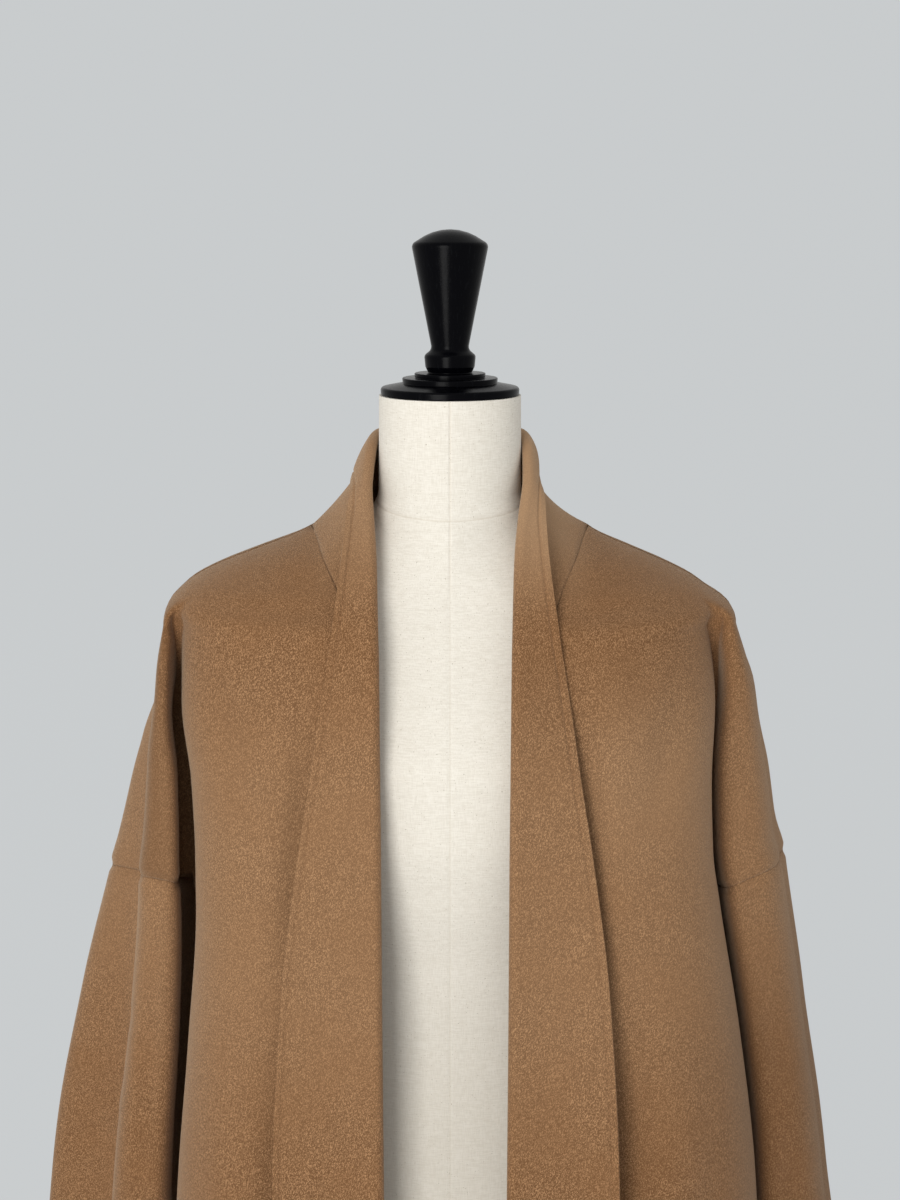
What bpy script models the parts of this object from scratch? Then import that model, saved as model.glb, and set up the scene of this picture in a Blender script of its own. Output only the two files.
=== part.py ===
"""Open wool coat with a shawl collar, hanging on a limbless dress form with a round stand.

Metres, +Z up, the coat's front faces -Y and the floor is Z = 0.
"""
import math
from collections import namedtuple

import bmesh
import bpy
import numpy as np

# Cloth and seams
CLOTH = 0.0026
SEAM_GAP = 0.0003
MID_Y = 0.012
NECK_POINT_Z = 1.3735
CORNER_Z = 1.300
ARMHOLE_Z = 1.080
CUFF_Z = 0.700
HEM_Z = 0.335
RELAX = 0.070
FOLD_GROWTH = 1.3
CORNER_BLEND = 0.030
TIP_BLEND = 0.030
SEAM_TILT = 0.12
SEAM_SLANT = {"left": 0.12, "right": 0.30}
SEAM_LEVEL_X = {"left": 0.2155, "right": 0.2420}
TRIM_LIMIT = 0.4
RIDGE_SHIFT = {"left": 0.0035, "right": -0.0070}
BODY_SHARE = 0.74
ARM_SQUARE = 2.6
FOLD_END = -0.15
FOLD_BLEND = 0.50

# Shawl collar
FOLD_LEAD = 0.0055
EDGE_CLEARANCE = 0.0017
COLLAR_GAP = 0.0009
SIDE_SHIFT = {"left": 0.0035, "right": -0.0035}
EDGE_LEAN = {"left": 0.0042, "right": -0.0052}
BOW_LEAN = {"left": -0.0110, "right": 0.0060}
LEAN_REACH = 0.5
SHIFT_START = 0.8

# Dress form and stand
FORM_CLEARANCE = 0.0010
SHOULDER_SQUARE = (1.3, 1.35, 1.6, 1.9)
SHOULDER_SLOPE = math.radians(22.0)
NECK_LEAN = 0.020
TORSO_BOTTOM_Z = 0.780
NECK_TOP_Z = 1.4785
FIT_GAP = 0.0003
POLE_RADIUS = 0.0125
BASE_RADIUS = 0.172
BASE_TOP_Z = 0.026

# Body of the coat in plan: half widths, depths from the form's axis and squareness, a row per level
Body = namedtuple("Body", "height left right front back square")
BODY = (
    Body(1.300, 0.2086, 0.2070, 0.106, 0.104, 2.7),
    Body(1.240, 0.2100, 0.2124, 0.124, 0.113, 3.2),
    Body(1.180, 0.2075, 0.2100, 0.133, 0.120, 3.6),
    Body(1.120, 0.2058, 0.2120, 0.138, 0.126, 3.9),
    Body(1.080, 0.2062, 0.2180, 0.140, 0.130, 4.0),
    Body(0.960, 0.2165, 0.2395, 0.146, 0.140, 4.0),
    Body(0.840, 0.2280, 0.2555, 0.150, 0.150, 3.8),
    Body(0.600, 0.2440, 0.2705, 0.156, 0.166, 3.4),
    Body(0.335, 0.2580, 0.2850, 0.162, 0.182, 3.0),
)

# Empty sleeve in plan: space to the body, half sizes, turn in degrees, centre, depth of the valley,
# width and skew of the front fold, squareness of its inner and outer corners
Arm = namedtuple("Arm", "height gap half_thick half_depth turn middle notch lobe skew inner outer")
ARM = {
    "left": (
        Arm(1.300, 0.0030, 0.0079, 0.050, 0, 0.012, 0.008, 0.0158, 0.00, 2.6, 2.6),
        Arm(1.270, 0.0034, 0.0105, 0.062, 1, 0.012, 0.026, 0.0200, 0.05, 3.0, 2.8),
        Arm(1.240, 0.0038, 0.0127, 0.072, 3, 0.012, 0.042, 0.0216, 0.10, 3.4, 3.0),
        Arm(1.190, 0.0040, 0.0214, 0.080, 9, 0.012, 0.062, 0.0308, 0.12, 4.2, 3.2),
        Arm(1.150, 0.0040, 0.0272, 0.085, 13, 0.013, 0.076, 0.0361, 0.13, 4.8, 3.4),
        Arm(1.100, 0.0040, 0.0328, 0.089, 16, 0.014, 0.110, 0.0425, 0.14, 5.2, 3.6),
        Arm(1.080, 0.0040, 0.0350, 0.089, 18, 0.015, 0.130, 0.0441, 0.14, 5.4, 3.6),
        Arm(0.950, 0.0040, 0.0460, 0.078, 22, 0.016, 0.130, 0.0483, 0.13, 5.4, 3.6),
        Arm(0.790, 0.0040, 0.0540, 0.067, 27, 0.014, 0.130, 0.0555, 0.12, 5.0, 3.6),
        Arm(0.700, 0.0050, 0.0560, 0.062, 28, 0.012, 0.130, 0.0580, 0.12, 5.0, 3.6),
    ),
    "right": (
        Arm(1.300, 0.0030, 0.0092, 0.049, 0, 0.013, 0.008, 0.0184, 0.00, 2.6, 2.6),
        Arm(1.270, 0.0030, 0.0138, 0.057, 2, 0.018, 0.022, 0.0258, 0.08, 3.0, 2.6),
        Arm(1.240, 0.0030, 0.0189, 0.062, 4, 0.025, 0.026, 0.0331, 0.14, 3.6, 2.6),
        Arm(1.205, 0.0030, 0.0232, 0.066, 5, 0.032, 0.026, 0.0418, 0.20, 4.2, 2.6),
        Arm(1.158, 0.0030, 0.0289, 0.074, 6, 0.033, 0.046, 0.0508, 0.22, 4.6, 2.6),
        Arm(1.110, 0.0030, 0.0313, 0.081, 8, 0.033, 0.095, 0.0559, 0.24, 5.0, 2.6),
        Arm(1.080, 0.0030, 0.0334, 0.085, 8, 0.033, 0.130, 0.0590, 0.24, 5.0, 2.6),
        Arm(0.950, 0.0030, 0.0328, 0.083, 9, 0.029, 0.130, 0.0585, 0.24, 5.0, 2.6),
        Arm(0.790, 0.0030, 0.0366, 0.074, 10, 0.024, 0.130, 0.0655, 0.24, 5.0, 2.6),
        Arm(0.700, 0.0050, 0.0400, 0.069, 10, 0.021, 0.130, 0.0735, 0.24, 5.0, 2.6),
    ),
}

# Shoulders from the neck to the rounded corner: shoulder line, depths and squareness of the plan
Shoulder = namedtuple("Shoulder", "height ridge front back square")
SHOULDER = (
    Shoulder(1.3735, 0.1105, 0.026, 0.082, 2.0),
    Shoulder(1.3680, 0.1204, 0.040, 0.086, 2.0),
    Shoulder(1.3551, 0.1528, 0.063, 0.092, 2.1),
    Shoulder(1.3416, 0.1854, 0.076, 0.096, 2.2),
    Shoulder(1.3305, 0.2056, 0.086, 0.099, 2.4),
    Shoulder(1.3194, 0.2178, 0.094, 0.101, 2.5),
    Shoulder(1.3094, 0.2248, 0.101, 0.103, 2.6),
    Shoulder(1.3000, 0.2276, 0.106, 0.104, 2.7),
)

# Seam between the front and the collar, round the neck and down under the lapel
Seam = namedtuple("Seam", "height x")
SEAM = (
    Seam(1.3735, 0.1105),
    Seam(1.3660, 0.1040),
    Seam(1.3585, 0.0990),
    Seam(1.3360, 0.0845),
    Seam(1.3180, 0.0775),
    Seam(1.3000, 0.0745),
    Seam(1.2400, 0.0730),
    Seam(1.1200, 0.0780),
    Seam(0.9600, 0.0860),
    Seam(0.8400, 0.0900),
    Seam(0.3350, 0.0950),
)

# Shawl collar round the neck: place along the neck seam, roll line, free edge and hollow of the stand
Collar = namedtuple("Collar", "place fold_x fold_y fold_z edge_x edge_y edge_z bow roll")
COLLAR = (
    Collar(0.00, 0.0000, 0.0640, 1.448, 0.0000, 0.0820, 1.404, 0.005, 0.0034),
    Collar(0.35, 0.0335, 0.0550, 1.448, 0.0425, 0.0715, 1.405, 0.007, 0.0034),
    Collar(0.70, 0.0550, 0.0310, 1.447, 0.0705, 0.0430, 1.408, 0.012, 0.0034),
    Collar(1.00, 0.0593, 0.0020, 1.442, 0.0750, 0.0080, 1.412, 0.017, 0.0034),
    Collar(1.30, 0.0600, -0.0290, 1.419, 0.0745, -0.0230, 1.409, 0.014, 0.0036),
    Collar(1.55, 0.0570, -0.0500, 1.394, 0.0760, -0.0460, 1.394, 0.009, 0.0040),
    Collar(1.80, 0.0530, -0.0780, 1.357, 0.0790, -0.0815, 1.357, 0.003, 0.0045),
    Collar(2.00, 0.0507, -0.1115, 1.300, 0.0862, -0.1085, 1.300, 0.001, 0.0045),
)

# Turned-back front band below the collar: roll line and free edge, a row per level
Lapel = namedtuple("Lapel", "height fold edge")
LAPEL = (
    Lapel(1.300, 0.0507, 0.0862),
    Lapel(1.257, 0.0500, 0.0930),
    Lapel(1.209, 0.0495, 0.1000),
    Lapel(1.143, 0.0490, 0.1106),
    Lapel(1.042, 0.0489, 0.1237),
    Lapel(0.879, 0.0485, 0.1336),
    Lapel(0.600, 0.0480, 0.1390),
    Lapel(0.335, 0.0480, 0.1420),
)

# Soft hanging folds of the skirt: place round a half (0 front seam, 1 side seam, 2 centre back)
Fold = namedtuple("Fold", "place half_width depth top")
FOLDS = {
    "left": (
        Fold(0.40, 0.28, -0.009, 1.02),
        Fold(0.80, 0.22, 0.007, 0.92),
        Fold(1.12, 0.20, -0.008, 0.86),
        Fold(1.42, 0.26, 0.012, 1.00),
        Fold(1.72, 0.20, -0.010, 0.95),
        Fold(2.00, 0.24, 0.010, 1.05),
    ),
    "right": (
        Fold(0.34, 0.26, -0.012, 1.08),
        Fold(0.74, 0.24, 0.008, 0.96),
        Fold(1.16, 0.22, -0.009, 0.88),
        Fold(1.50, 0.24, 0.011, 0.98),
        Fold(1.76, 0.18, -0.009, 0.90),
        Fold(2.00, 0.24, 0.010, 1.05),
    ),
}

# Dress form below the shoulders and at the neck: half width, depths from its axis and squareness
Torso = namedtuple("Torso", "height half_width front back square")
NECK = (
    Torso(1.4785, 0.0555, 0.0555, 0.0555, 2.0),
    Torso(1.4350, 0.0560, 0.0560, 0.0560, 2.0),
    Torso(1.4050, 0.0565, 0.0570, 0.0570, 2.0),
    Torso(1.3940, 0.0600, 0.0590, 0.0610, 2.0),
    Torso(1.3830, 0.0760, 0.0620, 0.0680, 2.0),
)
CHEST = (
    Torso(1.3280, 0.1940, 0.0750, 0.0850, 2.2),
    Torso(1.3080, 0.1965, 0.0830, 0.0890, 2.2),
    Torso(1.2800, 0.1930, 0.0940, 0.0930, 2.2),
    Torso(1.2400, 0.1830, 0.1070, 0.0970, 2.2),
    Torso(1.2000, 0.1690, 0.1170, 0.0970, 2.2),
    Torso(1.1500, 0.1530, 0.1150, 0.0930, 2.2),
    Torso(1.1000, 0.1360, 0.1030, 0.0860, 2.2),
    Torso(1.0400, 0.1260, 0.0930, 0.0830, 2.2),
    Torso(0.9800, 0.1360, 0.0970, 0.0940, 2.2),
    Torso(0.9000, 0.1600, 0.1030, 0.1100, 2.2),
    Torso(0.8300, 0.1690, 0.1050, 0.1160, 2.2),
    Torso(0.7900, 0.1680, 0.1040, 0.1130, 2.2),
    Torso(0.7800, 0.1640, 0.1000, 0.1090, 2.2),
)

# Mesh density: columns on the body and on the arm, rows of the panels, sleeves and collar
BODY_COLUMNS = 11
ARM_COLUMNS = 14
TUCK_COLUMNS = 5
NECK_COLUMNS = 19
YOKE_ROWS = (1.3728, 1.366, 1.358, 1.349, 1.340, 1.330, 1.319, 1.308, 1.295, 1.272, 1.242, 1.205, 1.165,
             1.122)
SKIRT_ROWS = (1.050, 1.010, 0.950, 0.860, 0.760, 0.650, 0.540, 0.435)
SLEEVE_ROWS = (1.010, 0.930, 0.850, 0.775)
COLLAR_ROWS = 8
UNDER_POINTS = 5
ROLL_POINTS = 6
UPPER_POINTS = 6
LAPEL_ROWS = (1.265, 1.225, 1.180, 1.130, 1.075, 1.000, 0.910, 0.800, 0.680, 0.560, 0.440)
DENSE = 160
TORSO_SIDES = 32
LATHE_STEPS = 28
STEP = 0.002
RIM = 0.020

SIGN = {"left": -1.0, "right": 1.0}


def smooth(rows, column, at, key="height"):
    """Value of one table column at a place, joined by monotone curves."""
    table = sorted((getattr(row, key), getattr(row, column)) for row in rows)
    xs = [pair[0] for pair in table]
    ys = [pair[1] for pair in table]
    if at <= xs[0]:
        return ys[0]
    if at >= xs[-1]:
        return ys[-1]
    slopes = [(ys[i + 1] - ys[i]) / (xs[i + 1] - xs[i]) for i in range(len(xs) - 1)]
    tangents = [slopes[0]]
    for before, after in zip(slopes, slopes[1:]):
        tangents.append(2 * before * after / (before + after) if before * after > 0 else 0.0)
    tangents.append(slopes[-1])
    i = max(k for k in range(len(xs) - 1) if xs[k] <= at)
    width = xs[i + 1] - xs[i]
    t = (at - xs[i]) / width
    start = (1 + 2 * t) * (1 - t) ** 2 * ys[i] + t * (1 - t) ** 2 * width * tangents[i]
    return start + t * t * (3 - 2 * t) * ys[i + 1] + t * t * (t - 1) * width * tangents[i + 1]


def ease(value):
    """Soft step from 0 to 1."""
    t = min(max(value, 0.0), 1.0)
    return t * t * (3 - 2 * t)


def unit(vectors):
    """Vectors of length 1."""
    return vectors / np.maximum(np.linalg.norm(vectors, axis=-1, keepdims=True), 1e-12)


def lengths(points):
    """Length along a polyline at each of its points."""
    return np.concatenate(([0.0], np.cumsum(np.linalg.norm(np.diff(points, axis=0), axis=1))))


def points_along(points, at):
    """Points of a polyline at given lengths along it."""
    return np.stack([np.interp(at, lengths(points), points[:, k]) for k in range(points.shape[1])], axis=1)


def resample(points, count):
    """The same polyline with evenly spaced points."""
    return points_along(points, np.linspace(0.0, lengths(points)[-1], count))


def power(values, exponent):
    """Power that keeps the sign."""
    return np.sign(values) * np.abs(values) ** exponent


def quarter(half, depth, square, depth_sign, x_start, y_stop):
    """Quarter of a squared oval in plan, from a given x to the side wall at a given y."""
    start = math.asin(min(x_start / half, 1.0) ** (square / 2))
    reach = max(depth_sign * (y_stop - MID_Y), 0.0)
    stop = math.acos((reach / depth) ** (square / 2))
    angle = np.linspace(start, stop, DENSE)
    x = half * power(np.sin(angle), 2 / square)
    y = MID_Y + depth_sign * depth * power(np.cos(angle), 2 / square)
    return np.stack([x, y], axis=1)


def depth_at(rows, height, depth_sign):
    """Depth of the plan before or behind the shoulder line."""
    if depth_sign < 0:
        return smooth(rows, "front", height) + MID_Y
    return smooth(rows, "back", height) - MID_Y


def body_arc(side, height, depth_sign, x_start, y_stop):
    """Quarter of the body's plan at or below the rounded corner of the shoulder."""
    return quarter(smooth(BODY, side, height), depth_at(BODY, height, depth_sign),
                   smooth(BODY, "square", height), depth_sign, x_start, y_stop)


def slump(height):
    """Share of a shoulder's slump: none at the neck and the corner, most between them."""
    return math.sin(math.pi * min(max((NECK_POINT_Z - height) / (NECK_POINT_Z - CORNER_Z), 0.0), 1.0))


def shoulder_arc(side, height, depth_sign, x_start):
    """Quarter of the plan of the shoulders, up to the shoulder line."""
    ridge = smooth(SHOULDER, "ridge", height) + RIDGE_SHIFT[side] * slump(height)
    return quarter(ridge, depth_at(SHOULDER, height, depth_sign),
                   smooth(SHOULDER, "square", height), depth_sign, x_start, MID_Y)


def arm_ring(side, height):
    """Closed plan of the empty sleeve from its inner wall round the front fold, outside and back."""
    row = {name: smooth(ARM[side], name, height) for name in Arm._fields[1:]}
    start = math.asin(((row["middle"] - MID_Y) / row["half_depth"]) ** (row["inner"] / 2))
    angle = np.linspace(start, start + 2 * math.pi, 4 * DENSE)
    before = np.sin(angle) > 0
    square = np.where(before, np.where(np.cos(angle) > 0, row["inner"], row["outer"]), ARM_SQUARE)
    across = 0.5 - 0.5 * power(np.cos(angle), 2 / square)
    along = -power(np.sin(angle), 2 / square) * np.where(before, 1 - row["skew"] * across, 1.0)
    behind = np.array([ease((place - FOLD_END) / FOLD_BLEND) for place in along])
    plain = 2 * row["half_thick"] + math.tan(math.radians(row["turn"])) * row["half_depth"] * along
    x = smooth(BODY, side, height) + row["gap"] + across * (row["lobe"] * (1 - behind) + plain * behind)
    return np.stack([x, row["middle"] + row["half_depth"] * along], axis=1)


def crossing(ring, y, first, last):
    """Point number of a stretch of the ring where it crosses a given y."""
    part = ring[first:last, 1]
    number = np.arange(first, last, dtype=float)
    order = np.argsort(part)
    return np.interp(y, part[order], number[order])


def stretch(ring, start, stop):
    """Points of the ring between two point numbers, both ends included."""
    at = np.concatenate(([start], np.arange(math.ceil(start), math.floor(stop) + 1), [stop]))
    number = np.arange(len(ring))
    return np.stack([np.interp(at, number, ring[:, k]) for k in range(2)], axis=1)


def arm_columns(inside, outside, height):
    """Points of an arm's wall from the valley to the outside, one of them on the fold's tip lower down."""
    line = np.concatenate([inside, outside[1:]])
    end = lengths(line)[-1]
    tip = lengths(inside)[-1]
    even = np.linspace(0.0, end, ARM_COLUMNS - 1)
    kept = np.concatenate([np.linspace(0.0, tip, TUCK_COLUMNS),
                           np.linspace(tip, end, ARM_COLUMNS - TUCK_COLUMNS)[1:]])
    share = ease((CORNER_Z - height) / TIP_BLEND)
    return points_along(line, even * (1 - share) + kept * share)


def yoke_half(side, height, depth_sign):
    """Plan of one panel's side above the armhole: body part and arm part, meeting in the valley."""
    level = min(height, CORNER_Z)
    ring = arm_ring(side, level)
    front_tip = int(np.argmin(ring[:, 1]))
    back_tip = int(np.argmax(ring[:, 1]))
    tip = ring[front_tip if depth_sign < 0 else back_tip, 1]
    limit = MID_Y + depth_sign * (CLOTH + SEAM_GAP)
    valley = tip - depth_sign * smooth(ARM[side], "notch", level)
    valley = min(valley, limit) if depth_sign < 0 else max(valley, limit)
    radius = smooth(ARM[side], "gap", level) / 2
    cut = valley + depth_sign * radius
    start_x = smooth(SEAM, "x", level) if depth_sign < 0 else 0.0
    wall = body_arc(side, level, depth_sign, start_x, cut)
    outer = crossing(ring, MID_Y, front_tip, back_tip)
    if depth_sign < 0:
        inside = stretch(ring, crossing(ring, cut, 0, front_tip), front_tip)
        outside = stretch(ring, front_tip, outer)
    else:
        inside = stretch(ring, back_tip, crossing(ring, cut, back_tip, len(ring)))[::-1]
        outside = stretch(ring, outer, back_tip)[::-1]
    bottom = np.array([[(wall[-1, 0] + inside[0, 0]) / 2, valley]])
    body = np.concatenate([resample(wall, BODY_COLUMNS - 1), bottom])
    arm = np.concatenate([bottom, arm_columns(inside, outside, level)])
    if height > CORNER_Z:
        start_x = smooth(SEAM, "x", height) if depth_sign < 0 else 0.0
        arc = resample(shoulder_arc(side, height, depth_sign, start_x), DENSE)
        cut = round(BODY_SHARE * (DENSE - 1))
        body_top = resample(arc[:cut + 1], BODY_COLUMNS)
        arm_top = resample(arc[cut:], ARM_COLUMNS)
        share = ease((height - CORNER_Z) / CORNER_BLEND)
        body = body * (1 - share) + body_top * share
        arm = arm * (1 - share) + arm_top * share
    return body, arm


def skirt_half(side, height, depth_sign):
    """Plan and outward directions of one panel below the armhole, front seam or centre back to the side."""
    start_x = smooth(SEAM, "x", height) if depth_sign < 0 else 0.0
    plain = resample(body_arc(side, height, depth_sign, start_x, MID_Y), BODY_COLUMNS)
    tucked, arm = yoke_half(side, height, depth_sign)
    share = ease((ARMHOLE_Z - height) / RELAX)
    plan = tucked * (1 - share) + plain * share
    last = unit(np.array([share, depth_sign * (1 - share)]))
    plan[-1, 1] = MID_Y + depth_sign * (SEAM_GAP / 2 + CLOTH * abs(last[1]))
    out = plan_normals(plan, depth_sign)
    out[-1] = last
    if depth_sign > 0:
        out[0] = (0.0, 1.0)
    place = np.linspace(0.0, 1.0, BODY_COLUMNS)
    if depth_sign > 0:
        place = 2.0 - place
    push = np.array([fold_push(side, at, height) for at in place])
    return plan + out * push[:, None], out


def fold_push(side, place, height):
    """Outward shift of the skirt's soft folds."""
    push = 0.0
    for fold in FOLDS[side]:
        near = abs(place - fold.place) / fold.half_width
        if near < 1 and height < fold.top:
            grow = ((fold.top - height) / (fold.top - HEM_Z)) ** FOLD_GROWTH
            push += fold.depth * grow * 0.5 * (1 + math.cos(math.pi * near))
    return push


def plan_normals(points, depth_sign):
    """Outward directions along a plan curve that runs from the middle to the side."""
    tangent = unit(np.gradient(points, axis=0))
    return np.stack([tangent[:, 1], -tangent[:, 0]], axis=1) * -depth_sign


def yoke_points(side, height):
    """One level above the armhole as 3-D points, front seam to centre back, on the positive side."""
    front_body, front_arm = yoke_half(side, height, -1)
    back_body, back_arm = yoke_half(side, height, 1)
    plan = np.concatenate([front_body, front_arm[1:], back_arm[::-1][1:], back_body[::-1][1:]])
    return np.column_stack([plan, np.full(len(plan), height)])


def seam_rise(side, point):
    """Height of the armhole seam's tilted plane above its mean level."""
    return SEAM_SLANT[side] * (point[0] - SEAM_LEVEL_X[side]) - SEAM_TILT * (point[1] - MID_Y)


def tilted(side, outer, inner, slope, gap, first, last):
    """Puts the armhole edge of some columns on the tilted plane of its seam."""
    for face in (outer, inner):
        for column in range(first, last):
            face[column] = face[column] + slope[column] * seam_rise(side, face[column])
            face[column, 2] = ARMHOLE_Z + gap + seam_rise(side, face[column])


def sleeve_points(side, height):
    """One level of a sleeve as 3-D points, inner seam round the front, outside and back."""
    ring = arm_ring(side, height)
    front_tip = int(np.argmin(ring[:, 1]))
    back_tip = int(np.argmax(ring[:, 1]))
    outer = crossing(ring, MID_Y, front_tip, back_tip)
    inner = crossing(ring, MID_Y, 0, front_tip)
    front = arm_columns(stretch(ring, inner, front_tip), stretch(ring, front_tip, outer), height)
    rest = np.concatenate([stretch(ring, back_tip, len(ring) - 1), stretch(ring, 0, inner)[1:]])
    back = arm_columns(rest[::-1], stretch(ring, outer, back_tip)[::-1], height)
    plan = np.concatenate([front, back[::-1][1:-1]])
    return np.column_stack([plan, np.full(len(plan), height)])


def normals(points_at, height, closed):
    """Outward directions of the cloth at one level."""
    here = points_at(height)
    rise = points_at(height + STEP) - points_at(height - STEP)
    if closed:
        along = np.roll(here, -1, axis=0) - np.roll(here, 1, axis=0)
    else:
        along = np.gradient(here, axis=0)
    out = unit(np.cross(along, rise))
    if not closed:
        out[-1] = unit(out[-1] * [0.0, 1.0, 1.0])
    return out


def mirror(points, side):
    """Points of the positive side moved to their own side."""
    return points * [SIGN[side], 1.0, 1.0]


def yoke_level(side, height, flat=False):
    """Outer and inner faces of one level above the armhole."""
    outer = yoke_points(side, height)
    out = normals(lambda z: yoke_points(side, z), height, False)
    if flat:
        out = unit(out * [1.0, 1.0, 0.0])
    inner = outer - CLOTH * out
    if flat:
        slope = (yoke_points(side, height + RIM) - yoke_points(side, height - RIM)) / (2 * RIM)
        arm = BODY_COLUMNS
        tilted(side, outer, inner, slope, SEAM_GAP / 2, arm, arm + 2 * ARM_COLUMNS - 3)
    return mirror(outer, side), mirror(inner, side)


def skirt_level(side, height, depth_sign):
    """Outer and inner faces of one level of a panel below the armhole, middle to side."""
    plan, out = skirt_half(side, height, depth_sign)
    heights = np.full(len(plan), height)
    outer = np.column_stack([plan, heights])
    inner = np.column_stack([plan - CLOTH * out, heights])
    return mirror(outer, side), mirror(inner, side)


def trim(outer, inner, number, other):
    """Moves one edge column half the seam gap towards its neighbour column."""
    for face in (outer, inner):
        step = face[other] - face[number]
        length = np.linalg.norm(step)
        face[number] = face[number] + step / length * min(SEAM_GAP / 2, TRIM_LIMIT * length)


def wall(name, outer, inner, quads, material):
    """Closed cloth wall from the points of its two faces and the quads of the outer one."""
    count = len(outer)
    faces = []
    for a, b, c, d in quads:
        if np.linalg.norm(outer[a] - outer[c]) < np.linalg.norm(outer[b] - outer[d]):
            faces += [(a, b, c), (a, c, d)]
        else:
            faces += [(a, b, d), (b, c, d)]
    edges = {}
    for face in faces:
        for a, b in zip(face, face[1:] + face[:1]):
            edges[frozenset((a, b))] = None if frozenset((a, b)) in edges else (a, b)
    rim = [(b, a, a + count, b + count) for pair in edges.values() if pair for a, b in [pair]]
    back = [tuple(number + count for number in reversed(face)) for face in faces]
    mesh = bpy.data.meshes.new(name)
    points = [tuple(map(float, point)) for point in list(outer) + list(inner)]
    mesh.from_pydata(points, [], faces + back + rim)
    return finish(name, mesh, material)


def finish(name, mesh, material):
    """Named object with outward faces, smooth shading and its material."""
    shape = bmesh.new()
    shape.from_mesh(mesh)
    if shape.calc_volume(signed=True) < 0:
        bmesh.ops.reverse_faces(shape, faces=shape.faces)
    shape.to_mesh(mesh)
    shape.free()
    mesh.shade_smooth()
    mesh.materials.append(material)
    item = bpy.data.objects.new(name, mesh)
    bpy.context.collection.objects.link(item)
    return item


def paint(name, colour, roughness):
    """Plain surface with a linear colour."""
    material = bpy.data.materials.new(name)
    material.use_nodes = True
    shader = material.node_tree.nodes["Principled BSDF"]
    shader.inputs["Base Color"].default_value = (*colour, 1.0)
    shader.inputs["Roughness"].default_value = roughness
    return material


def lathe(name, profile, material):
    """Turned piece from a profile of radii and heights, top to bottom."""
    mesh = bpy.data.meshes.new(name)
    points = [(radius, 0.0, height) for radius, height in profile]
    mesh.from_pydata(points, [(i, i + 1) for i in range(len(points) - 1)], [])
    mesh.materials.append(material)
    item = bpy.data.objects.new(name, mesh)
    bpy.context.collection.objects.link(item)
    turn = item.modifiers.new("turn", "SCREW")
    turn.steps = LATHE_STEPS
    turn.render_steps = LATHE_STEPS
    turn.use_merge_vertices = True
    turn.merge_threshold = 0.00001
    turn.use_smooth_shade = True
    return item


# Front panels: from the collar seam over the dropped shoulder, and down to the side seam and hem
def front_panel(side, material):
    split = BODY_COLUMNS + ARM_COLUMNS - 2
    rows = []
    for height in YOKE_ROWS + (ARMHOLE_Z + SEAM_GAP / 2,):
        out, inn = yoke_level(side, height, height < YOKE_ROWS[-1])
        trim(out, inn, split, split - 1)
        rows.append((out[:split + 1], inn[:split + 1]))
    for height in SKIRT_ROWS + (HEM_Z,):
        rows.append(skirt_level(side, height, -1))
    return panel("front_" + side, rows, material)


# Back panel: both halves joined at the centre back
def back_panel(material):
    split = BODY_COLUMNS + ARM_COLUMNS - 2
    rows = []
    for height in (NECK_POINT_Z,) + YOKE_ROWS[1:] + (ARMHOLE_Z + SEAM_GAP / 2,):
        halves = []
        for side in ("left", "right"):
            out, inn = yoke_level(side, height, height < YOKE_ROWS[-1])
            trim(out, inn, split, split + 1)
            halves.append((out[split:], inn[split:]))
        rows.append(joined(halves))
    for height in SKIRT_ROWS + (HEM_Z,):
        halves = [skirt_level(side, height, 1) for side in ("left", "right")]
        rows.append(joined([(out[::-1], inn[::-1]) for out, inn in halves]))
    return panel("back", rows, material)


def joined(halves):
    """Left and right halves of a level as one row, left side to right side."""
    faces = []
    for left, right in zip(*halves):
        middle = (left[-1] + right[-1]) / 2
        faces.append(np.concatenate([left[:-1], [middle], right[:-1][::-1]]))
    return faces


def panel(name, rows, material):
    """Cloth wall from levels; where the levels get shorter, the spare columns end there."""
    outer = np.concatenate([row[0] for row in rows])
    inner = np.concatenate([row[1] for row in rows])
    starts = np.cumsum([0] + [len(row[0]) for row in rows])
    centred = name == "back"
    quads = []
    for number in range(len(rows) - 1):
        width = len(rows[number + 1][0])
        skip = (len(rows[number][0]) - width) // 2 if centred else 0
        for column in range(width - 1):
            a = int(starts[number]) + skip + column
            b = int(starts[number + 1]) + column
            quads.append((a, a + 1, b + 1, b))
    return wall(name, outer, inner, quads, material)


# Sleeves: tubes set on below the dropped shoulder, empty and hanging
def sleeve(side, material):
    outer = []
    inner = []
    heights = (ARMHOLE_Z - SEAM_GAP / 2,) + SLEEVE_ROWS + (CUFF_Z,)
    for height in heights:
        ring = sleeve_points(side, height)
        out = normals(lambda z: sleeve_points(side, z), height, True)
        if height in (heights[0], CUFF_Z):
            out = unit(out * [1.0, 1.0, 0.0])
        inside = ring - CLOTH * out
        if height == heights[0]:
            slope = (sleeve_points(side, height + RIM) - sleeve_points(side, height - RIM)) / (2 * RIM)
            tilted(side, ring, inside, slope, -SEAM_GAP / 2, 0, len(ring))
        outer += list(mirror(ring, side))
        inner += list(mirror(inside, side))
    count = len(outer) // len(heights)
    quads = []
    for row in range(len(heights) - 1):
        for column in range(count):
            after = (column + 1) % count
            quads.append((row * count + column, row * count + after,
                          (row + 1) * count + after, (row + 1) * count + column))
    return wall("sleeve_" + side, outer, inner, quads, material)


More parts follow.
